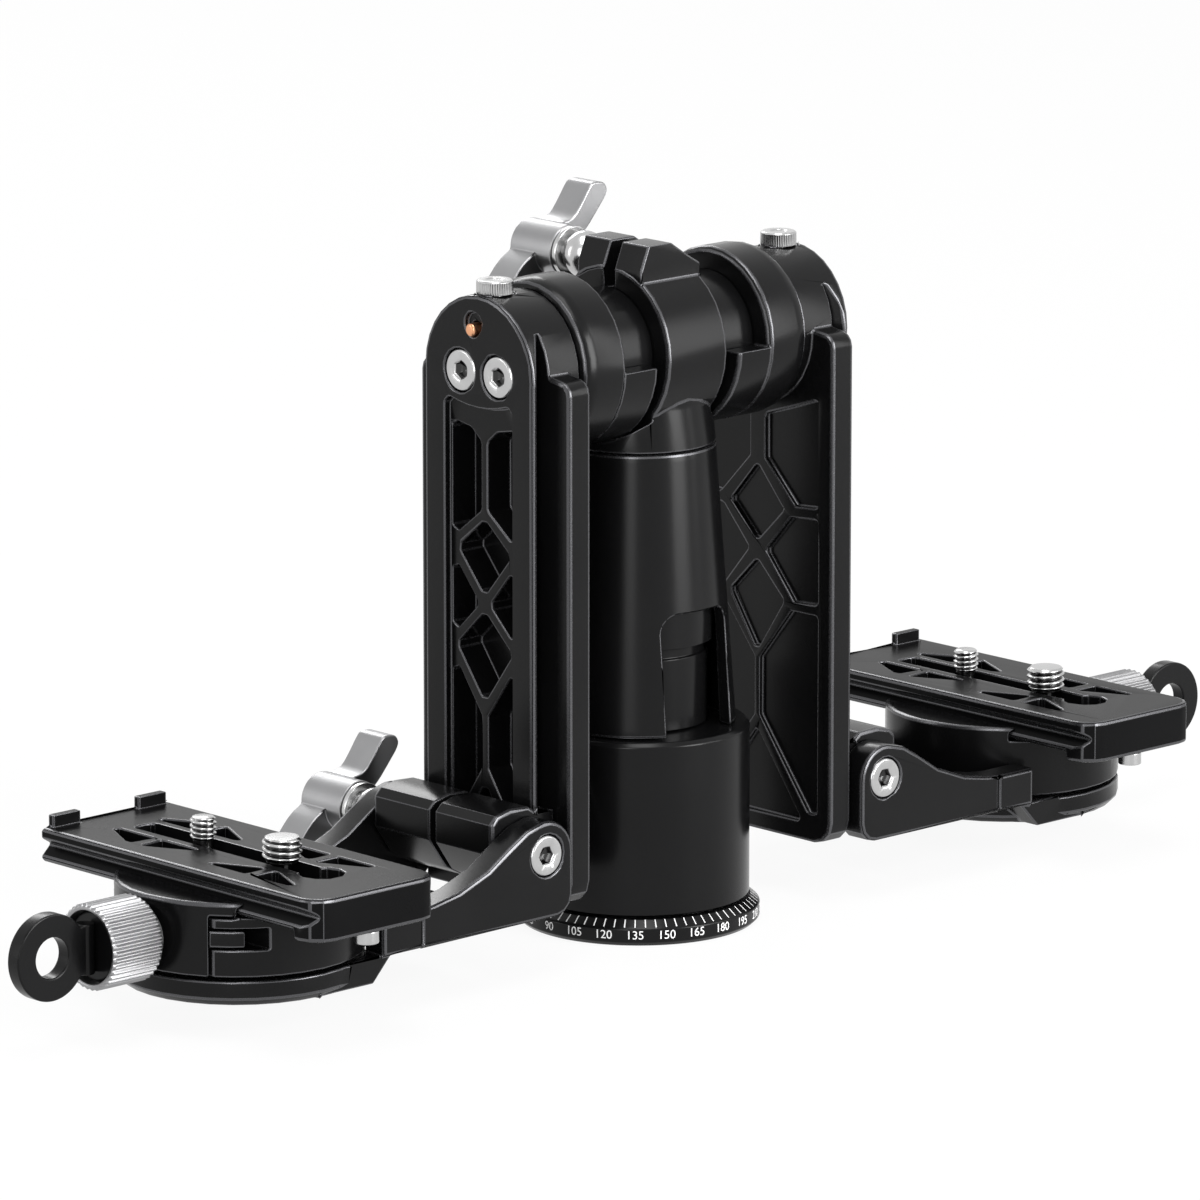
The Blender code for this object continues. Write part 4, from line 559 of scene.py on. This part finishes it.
class GIMBAL_OT_base(bpy.types.Operator):
    """Dial ring with its lines and numbers, and the base plate"""

    bl_idname = "gimbal.base"
    bl_label = "Base and dial"

    def execute(self, context):
        dial = turned("dial", [
            (25.3, 6.3), (27.6, 6.3), (29.6, 4.7), (30.0, 4.3), (30.0, 1.1), (28.9, 0),
            (25.3, 0)], radius=0.25)
        dress(dial, "dial_ring", dial_black("dial"))
        self.numbers(context)
        plate = turned("foot_plate", [
            (0, 16.0), (4.76, 16.0), (4.76, 0), (25.0, 0), (25.0, 6.3), (11.7, 6.3),
            (11.7, 33.0), (0, 33.0)])
        dress(plate, "base_plate", anodised("foot_plate"))
        return {"FINISHED"}

    def numbers(self, context):
        """Numbers in even steps, bent round the dial: x becomes an angle, y a height."""
        sizes = context.scene.gimbal_sizes
        radius = NUMBER_RADIUS * MM
        meshes = []
        for number in range(0, 360, NUMBER_STEP):
            curve = bpy.data.curves.new("number", "FONT")
            curve.body = str(number)
            curve.size = sizes.number_height / DIGIT_SHARE
            curve.align_x = "CENTER"
            curve.extrude = 0.02 * MM
            text = bpy.data.objects.new("number", curve)
            context.scene.collection.objects.link(text)
            depsgraph = context.evaluated_depsgraph_get()
            mesh = bpy.data.meshes.new_from_object(text.evaluated_get(depsgraph))
            bpy.data.objects.remove(text)
            places = np.empty(len(mesh.vertices) * 3)
            mesh.vertices.foreach_get("co", places)
            x, y, z = places.reshape(-1, 3).T
            angle = math.radians(number + 90) + x / radius
            reach = radius + z
            places = np.stack([
                reach * np.cos(angle), reach * np.sin(angle), y + NUMBER_BASELINE * MM], 1)
            mesh.vertices.foreach_set("co", places.ravel())
            meshes.append(mesh)
        joined = bmesh.new()
        for mesh in meshes:
            joined.from_mesh(mesh)
            bpy.data.meshes.remove(mesh)
        bmesh.ops.remove_doubles(joined, verts=joined.verts, dist=WELD)
        bmesh.ops.recalc_face_normals(joined, faces=joined.faces)
        whole = bpy.data.meshes.new("dial_numbers")
        joined.to_mesh(whole)
        joined.free()
        obj = bpy.data.objects.new("dial_numbers", whole)
        context.scene.collection.objects.link(obj)
        mark = Finish("number_white", tuple(context.scene.gimbal_colours.mark), 0.5, 0.0)
        mark.set("Roughness", 0.42 + mark.noise(2500.0) * 0.2)
        whole.materials.append(mark.material)
        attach(obj, "base")


class GIMBAL_OT_post(bpy.types.Operator):
    """Turning drum, inner column and the post with its window"""

    bl_idname = "gimbal.post"
    bl_label = "Drum and post"

    def execute(self, context):
        drum = turned("drum", [
            (0, 50.1), (26.4, 50.1), (27.4, 49.1), (27.4, 7.0), (15.7, 7.0), (15.7, 33.3),
            (0, 33.3)], radius=0.3)
        dress(drum, "pan_housing", anodised("drum"))
        column = turned("column", [
            (0, 119.4), (9.7, 119.4), (9.7, 83.2), (18.4, 83.2), (18.4, 71.0), (16.2, 71.0),
            (16.2, 68.3), (17.0, 68.3), (17.0, 50.4), (0, 50.4)], radius=0.3)
        dress(column, "inner_column", anodised("column"))
        dress(self.post(), "post", milled_black("post"))
        return {"FINISHED"}

    def post(self):
        """Cone with many rows, so that the window's cut leaves its shading even."""
        foot, top, low, high = 24.0, 18.9, 50.4, 119.7
        rim = 0.4
        levels = np.linspace(high - rim, low + rim, 40)
        wall = [(foot + (top - foot) * (z - low) / (high - low), z) for z in levels]
        profile = [(10.0, high), (top - rim, high)] + wall + [
            (foot - rim, low), (20.6, low), (18.7, 83.5), (10.0, 83.5)]
        rows = np.array(profile)
        columns = 128
        post = lathe("post_cone", np.repeat(rows[:, :1], columns, 1), rows[:, 1], loop=True)
        half_width, middle, corner, shoulder = 10.7, 5.9, 4.8, 75.7
        turn = np.linspace(0, math.pi / 2, 9)
        round_right = np.stack([
            middle + corner * np.cos(turn), shoulder + corner * np.sin(turn)], 1)
        round_left = round_right[::-1] * (-1, 1)
        outline = np.concatenate([
            [(-half_width, 46.0), (half_width, 46.0)], round_right, round_left])
        return rounded_edges(carved(post, slab("window", outline, -30, -13, 0.001)), rim * MM)


class GIMBAL_OT_tilt_head(bpy.types.Operator):
    """Saddle, barrel and split clamp block"""

    bl_idname = "gimbal.tilt_head"
    bl_label = "Tilt head"

    def execute(self, context):
        head = rounded_edges(refined("saddle", "tilt_head"))
        dress(head, "tilt_head", milled_black("saddle"))
        for node in ("pan_bearing_lower", "pan_bearing_upper", "tilt_shaft", "tilt_clamp_stud"):
            frame["nodes"][node].data.materials.clear()
            frame["nodes"][node].data.materials.append(
                turned_steel(node, (0, 0, 0), 2).material)
        return {"FINISHED"}


def lever(name, centre, start):
    """Two-winged lever: a hub, and one outline through both wings with soft corners."""
    reach = 21.3
    shares = (
        (0.30, 0.02), (0.50, 0.13), (0.70, 0.36), (0.86, 0.55), (0.82, 0.66), (0.737, 0.69),
        (0.62, 0.69), (0.568, 0.657), (0.437, 0.469), (0.30, 0.30), (0.10, 0.28))
    upper = [(centre[0] + reach * x, centre[2] + reach * z) for x, z in shares]
    lower = [(2 * centre[0] - x, 2 * centre[2] - z) for x, z in upper]
    wings = slab(name, chaikin(upper + lower), start + 5.5, start + 14.45, 0.5)
    hub = turned("lever_hub", [
        (0, start + 14.5), (6.5, start + 14.5), (6.5, start), (2.8, start),
        (2.8, start + 11.8), (0, start + 11.8)], "Y", (centre[0], 0, centre[2]), 96, 0.5)
    return carved(wings, hub, "UNION")


def ball_washer(name, centre, start, end):
    """Round washer between a clamp and its lever.

    Its side is an ellipse's arc: radius a cos(t) at b sin(t) from its middle.
    """
    middle = end - 5.2
    turn = np.radians(np.linspace(49, -49, 15))
    ball = [(5.8 * math.cos(a), middle + 5.0 * math.sin(a)) for a in turn]
    profile = [(2.8, end), (6.3, end), (6.3, end - 1.4), (4.4, end - 1.4)] + ball + [
        (4.0, start), (2.8, start)]
    return turned(name, profile, "Y", centre, 96, 0.15)


class GIMBAL_OT_levers(bpy.types.Operator):
    """Lock levers and their washers, on the tilt clamp and on both hinges"""

    bl_idname = "gimbal.levers"
    bl_label = "Lock levers"

    def execute(self, context):
        places = [(
            "tilt", (0, 0, STUD_HEIGHT), TILT_LEVER_START, TILT_CLAMP_FACE,
            "tilt_lever", "tilt_clamp_washer")]
        for side, sign in SIDES:
            places.append((
                "hinge_" + side, (sign * HINGE_X, 0, HINGE_HEIGHT), HINGE_LEVER_START,
                HINGE_FACE, "hinge_lever_" + side, "hinge_washer_" + side))
        for name, centre, start, face, lever_node, washer_node in places:
            made = rounded_edges(lever(name + "_handle", centre, start), 0.25 * MM, angle=40)
            dress(made, lever_node, satin_titanium(name + "_handle"))
            ball = ball_washer(name + "_ball", centre, face, start - 0.3)
            dress(ball, washer_node, turned_steel(name + "_ball", centre, 1))
        return {"FINISHED"}


class GIMBAL_OT_yoke(bpy.types.Operator):
    """Hubs, side arms, hub screws, top buttons and stop pins"""

    bl_idname = "gimbal.yoke"
    bl_label = "Yoke and arms"

    def execute(self, context):
        for side, sign in SIDES:
            for node in ("hub_", "arm_"):
                obj = rounded_edges(refined(node + "form_" + side, node + side))
                dress(obj, node + side, milled_black(node + side))
        dress_sides(self.bush, "bush", "tilt_bush", lambda sign: anodised("bush"))
        for name, y in (("front", -HUB_SCREW_Y), ("back", HUB_SCREW_Y)):
            dress_sides(
                lambda title: self.screw(title, y), "arm_screw_" + name, "hub_screw_" + name,
                lambda sign: turned_steel(
                    "arm_screw_" + name, (0, y, TILT_HEIGHT), 0, (2.6, 52.4)))
        dress_sides(
            self.button, "button", "top_button",
            lambda sign: turned_steel("button", (sign * BUTTON_X, 0, 0), 2))
        copper = tuple(context.scene.gimbal_colours.copper)
        dress_sides(
            self.pin, "copper_pin", "stop_pin",
            lambda sign: turned_metal("copper_pin", copper, 0.30, STOP_PIN, 0))
        return {"FINISHED"}

    def bush(self, name):
        return turned(
            name, [(12.3, 23.5), (15.8, 23.5), (15.8, 10.2), (12.3, 10.2)], "X",
            (0, 0, TILT_HEIGHT))

    def screw(self, name, y):
        rows = [(2.75, 52.9), (4.75, 52.9), (5.15, 52.5), (5.15, 50.2), (2.0, 50.2),
                (2.0, 34.1), (0, 34.1)]
        return socket_screw(name, rows, 2.25, 50.9, 52.5, "X", (0, y, TILT_HEIGHT))

    def button(self, name):
        """The rim's radius dips between its ridges: R - d (1 - cos(n a)) / 2."""
        ridges = bpy.context.scene.gimbal_sizes.button_ridges
        columns = ridges * 6
        wave = (1 - np.cos(np.arange(columns) * TAU * ridges / columns)) / 2
        rows = filleted([
            (0, 165.45), (1.9, 165.45), (2.2, 165.7), (4.1, 165.7), (4.46, 165.35),
            (4.46, 162.3), (2.2, 162.3), (2.2, 156.3), (0, 156.3)], 0.12)
        depth = np.where((rows[:, 0] > 4.3) & (rows[:, 1] < 165.3), 0.14, 0)
        return lathe(
            name, rows[:, :1] - depth[:, None] * wave[None], rows[:, 1], "Z",
            (BUTTON_X, 0, 0))

    def pin(self, name):
        profile = [(0, 54.3), (1.2, 54.3), (1.6, 53.9), (1.6, 48.3), (0, 48.3)]
        return turned(name, profile, "X", STOP_PIN, 48, 0.25)


class GIMBAL_OT_platforms(bpy.types.Operator):
    """Sliders, brackets, hinge bolts, rotating clamps and their jaws"""

    bl_idname = "gimbal.platforms"
    bl_label = "Folding platforms"

    def execute(self, context):
        for side, sign in SIDES:
            for node in ("slider_", "bracket_", "clamp_body_", "clamp_jaw_"):
                obj = rounded_edges(refined(node + "form_" + side, node + side))
                dress(obj, node + side, milled_black(node + side))
            for node in ("clamp_pivot_", "draw_screw_"):
                data = frame["nodes"][node + side].data
                data.materials.clear()
                data.materials.append(turned_steel(node + side, (0, 0, 0), 0).material)
        dress_sides(
            self.bolt, "bolt", "hinge_bolt",
            lambda sign: turned_steel(
                "bolt", (sign * HINGE_X, 0, HINGE_HEIGHT), 1, (2.6, 28.3)))
        return {"FINISHED"}

    def bolt(self, name):
        rows = [(2.7, -28.8), (4.6, -28.8), (5.0, -28.4), (5.0, -25.8), (2.5, -25.8),
                (2.5, 49.9), (0, 49.9)]
        return socket_screw(
            name, rows, 2.25, -27.0, -28.4, "Y", (HINGE_X, 0, HINGE_HEIGHT))


class GIMBAL_OT_knobs(bpy.types.Operator):
    """Ridged clamp knobs with their caps and folding finger rings"""

    bl_idname = "gimbal.knobs"
    bl_label = "Clamp knobs"

    def execute(self, context):
        dress_sides(self.knob, "grip", "clamp_knob", lambda sign: satin_titanium("grip"))
        dress_sides(self.cap, "grip_cap", "knob_cap", lambda sign: anodised("grip_cap"))
        dress_sides(self.ring, "ring", "knob_ring", lambda sign: anodised("ring"))
        return {"FINISHED"}

    def knob(self, name):
        """Grip whose radius dips between its ridges.

        It is R - d w, where w is 1.7 (1 - |cos(n a / 2)|), and 1 at most.
        """
        ridges = bpy.context.scene.gimbal_sizes.knob_ridges
        columns = ridges * 10
        turn = np.arange(columns) * math.pi * ridges / columns
        wave = np.clip((1 - np.abs(np.cos(turn))) * 1.7, 0, 1)
        rows = filleted([
            (0, 173.3), (8.8, 173.3), (8.8, 177.0), (9.1, 177.3), (9.7, 177.3), (10.4, 176.6),
            (10.4, 163.0), (9.7, 162.3), (7.2, 162.3), (7.2, 159.9), (0, 159.9)], 0.12)
        ridged = rows[:, 0] > 9.6
        depth = np.where(ridged, 0.75 * np.clip((rows[:, 0] - 9.6) / 0.8, 0, 1), 0)
        return lathe(
            name, rows[:, :1] - depth[:, None] * wave[None], rows[:, 1], "X",
            (0, 0, KNOB_HEIGHT))

    def cap(self, name):
        profile = [(0, 175.4), (7.9, 175.4), (8.5, 174.8), (8.5, 173.6), (0, 173.6)]
        return turned(name, profile, "X", (0, 0, KNOB_HEIGHT), 96, 0.2)

    def ring(self, name):
        """Flat ring joined by a neck to its upright root, each with rounded edges."""
        disc = turned(
            name, [(4.9, 2.0), (10.4, 2.0), (10.4, -2.0), (4.9, -2.0)], "Y",
            (RING_X, 0, KNOB_HEIGHT), 96, 0.45)
        neck = slab("neck", [
            (RING_ROOT_X, 18.25), (183.8, 18.25), (183.8, 29.75), (RING_ROOT_X, 29.75)],
            -2, 2, 0.3)
        root = turned("root", [(0, 30.05), (2.4, 30.05), (2.4, 17.95), (0, 17.95)], "Z",
                      (RING_ROOT_X, 0, 0), 48, 0.3)
        return carved(carved(disc, neck, "UNION"), root, "UNION")


class GIMBAL_OT_plates(bpy.types.Operator):
    """Camera plates with their screws and safety pins"""

    bl_idname = "gimbal.plates"
    bl_label = "Camera plates"

    def execute(self, context):
        for side, sign in SIDES:
            obj = rounded_edges(refined("plate_form_" + side, "camera_plate_" + side))
            dress(obj, "camera_plate_" + side, milled_black("plate_" + side, 0.05, 0.24))
        dress_sides(
            self.safety_pin, "stop", "safety_pin",
            lambda sign: turned_steel("stop", (sign * CLAMP_X, SAFETY_PIN_Y, 0), 2))
        for name, y, radius, top, pitch in CAMERA_SCREWS:
            dress_sides(
                lambda title: self.screw(title, y, radius, top, pitch),
                name + "_screw", "screw_" + name,
                lambda sign: turned_steel(
                    name + "_screw", (sign * CLAMP_X, y, 0), 2, (radius - 0.45, top - 0.6)))
        return {"FINISHED"}

    def safety_pin(self, name):
        profile = [(0, 32.1), (1.4, 32.1), (1.4, 28.1), (2.9, 28.1), (2.9, 25.0), (0, 25.0)]
        return turned(name, profile, "Z", (CLAMP_X, SAFETY_PIN_Y, 0), 48, 0.3)

    def screw(self, name, y, radius, top, pitch):
        """Helical thread: the radius is R - d w, where w is a clipped triangle wave of
        height / pitch - angle / turn, faded out at the tip's chamfer and at the neck."""
        columns = 72
        foot, start, slope = 39.1, 39.6, 0.9
        levels = np.arange(foot, top, pitch / 12)[:, None]
        phase = (levels / pitch - np.arange(columns) / columns) % 1
        wave = np.clip(np.abs(phase - 0.5) * 2.6 - 0.25, 0, 1)
        depth = 0.55 * pitch
        core = radius - depth
        chamfer = radius - 0.9 * depth + (top - levels) * slope
        runout = radius - depth * 0.8 + (levels - start) * slope
        threaded = np.minimum(np.minimum(radius - depth * wave, chamfer), np.maximum(runout, core))
        threaded = np.where(levels < start, core, threaded)
        ring = np.ones((1, columns))
        head = [(2.45, foot), (2.45, 32.6), (6.2, 32.6), (6.2, 30.7), (0, 30.7)]
        radii = np.concatenate(
            [0 * ring, core * ring, threaded[::-1]] + [r * ring for r, _ in head])
        heights = np.concatenate([[top, top], levels[::-1, 0], [h for _, h in head]])
        return lathe(name, radii, heights, "Z", (CLAMP_X, y, 0))


class GIMBAL_OT_stage(bpy.types.Operator):
    """Pale floor, soft lamps, white world and the camera"""

    bl_idname = "gimbal.stage"
    bl_label = "Studio stage"

    def execute(self, context):
        scene = context.scene
        scene.view_settings.view_transform = "Standard"
        self.floor(scene)
        self.world(scene)
        for name, place, sides, power in LAMPS:
            self.lamp(scene, name, place, sides, power)
        self.camera(scene)
        return {"FINISHED"}

    def floor(self, scene):
        """Large floor that shows white to the camera and keeps a faint shadow."""
        size = 6000.0
        points = np.array([
            (-size, -size, 0), (size, -size, 0), (size, size, 0), (-size, size, 0)])
        floor = piece_of("floor", points, [[0, 1, 2, 3]])
        colour = tuple(scene.gimbal_colours.floor)
        finish = Finish("floor", colour, 0.8, 0.0, 0.2)
        grain = finish.noise(40.0)
        finish.set("Base Color", finish.mix(grain, scaled(colour, 0.99), colour))
        path = finish.node("ShaderNodeLightPath", {}, {}).socket.node
        seen = Value(finish, path.outputs["Is Camera Ray"]) + Value(
            finish, path.outputs["Is Glossy Ray"]) + Value(
                finish, path.outputs["Is Transmission Ray"])
        glow = finish.node("ShaderNodeEmission", {}, {"Color": (1, 1, 1, 1), "Strength": 1.0})
        mixed = finish.node("ShaderNodeMixShader", {}, {
            0: seen * 0.92, 1: Value(finish, finish.shader.outputs[0]), 2: glow})
        output = finish.tree.nodes["Material Output"]
        finish.tree.links.new(mixed.socket, output.inputs["Surface"])
        floor.data.materials.append(finish.material)

    def world(self, scene):
        """White where the camera or a reflection sees it, softer as a light."""
        world = bpy.data.worlds.new("studio")
        scene.world = world
        world.use_nodes = True
        nodes, links = world.node_tree.nodes, world.node_tree.links
        background = nodes["Background"]
        path = nodes.new("ShaderNodeLightPath")
        seen = nodes.new("ShaderNodeMath")
        seen.operation = "MAXIMUM"
        links.new(path.outputs["Is Camera Ray"], seen.inputs[0])
        links.new(path.outputs["Is Glossy Ray"], seen.inputs[1])
        both = nodes.new("ShaderNodeMath")
        both.operation = "MAXIMUM"
        links.new(seen.outputs[0], both.inputs[0])
        links.new(path.outputs["Is Transmission Ray"], both.inputs[1])
        strength = nodes.new("ShaderNodeMapRange")
        strength.inputs["To Min"].default_value = 0.35
        strength.inputs["To Max"].default_value = 1.0
        links.new(both.outputs[0], strength.inputs["Value"])
        links.new(strength.outputs["Result"], background.inputs["Strength"])
        background.inputs["Color"].default_value = (1, 1, 1, 1)

    def lamp(self, scene, name, place, sides, power):
        """Soft box that faces the object."""
        data = bpy.data.lights.new(name, "AREA")
        data.shape = "RECTANGLE"
        data.size, data.size_y = sides
        data.energy = power
        obj = bpy.data.objects.new(name, data)
        scene.collection.objects.link(obj)
        obj.location = place
        aim = Vector((0, 0, 0.08)) - Vector(place)
        obj.rotation_euler = aim.to_track_quat("-Z", "Y").to_euler()

    def camera(self, scene):
        """Long lens from the left front, a little above the object."""
        data = bpy.data.cameras.new("camera")
        data.lens = 272.43
        data.sensor_width = 36.0
        data.clip_end = 50.0
        obj = bpy.data.objects.new("camera", data)
        obj.location = (-1.49586, -1.56963, 0.56324)
        obj.rotation_euler = Euler((math.radians(77.431), 0, math.radians(-43.374)))
        scene.collection.objects.link(obj)
        scene.camera = obj


class GIMBAL_PT_panel(bpy.types.Panel):
    """Sizes, colours and makers of the gimbal head"""

    bl_idname = "GIMBAL_PT_panel"
    bl_label = "Gimbal Head"
    bl_space_type = "VIEW_3D"
    bl_region_type = "UI"
    bl_category = "Gimbal"

    def draw(self, context):
        layout = self.layout
        for group in (context.scene.gimbal_sizes, context.scene.gimbal_colours):
            for name in group.__annotations__:
                layout.prop(group, name)
        for operator in OPERATORS:
            layout.operator(operator.bl_idname)


OPERATORS = (
    GIMBAL_OT_stage, GIMBAL_OT_base, GIMBAL_OT_post, GIMBAL_OT_tilt_head, GIMBAL_OT_levers,
    GIMBAL_OT_yoke, GIMBAL_OT_platforms, GIMBAL_OT_knobs, GIMBAL_OT_plates)
CLASSES = (GimbalSizes, GimbalColours, *OPERATORS, GIMBAL_PT_panel)


def register():
    for cls in CLASSES:
        bpy.utils.register_class(cls)
    bpy.types.Scene.gimbal_sizes = PointerProperty(type=GimbalSizes)
    bpy.types.Scene.gimbal_colours = PointerProperty(type=GimbalColours)


def unregister():
    del bpy.types.Scene.gimbal_colours
    del bpy.types.Scene.gimbal_sizes
    for cls in reversed(CLASSES):
        bpy.utils.unregister_class(cls)


def main():
    """Makes every piece in order."""
    register()
    bpy.ops.gimbal.stage()
    bpy.ops.gimbal.base()
    bpy.ops.gimbal.post()
    bpy.ops.gimbal.tilt_head()
    bpy.ops.gimbal.levers()
    bpy.ops.gimbal.yoke()
    bpy.ops.gimbal.platforms()
    bpy.ops.gimbal.knobs()
    bpy.ops.gimbal.plates()


if __name__ == "__main__":
    main()
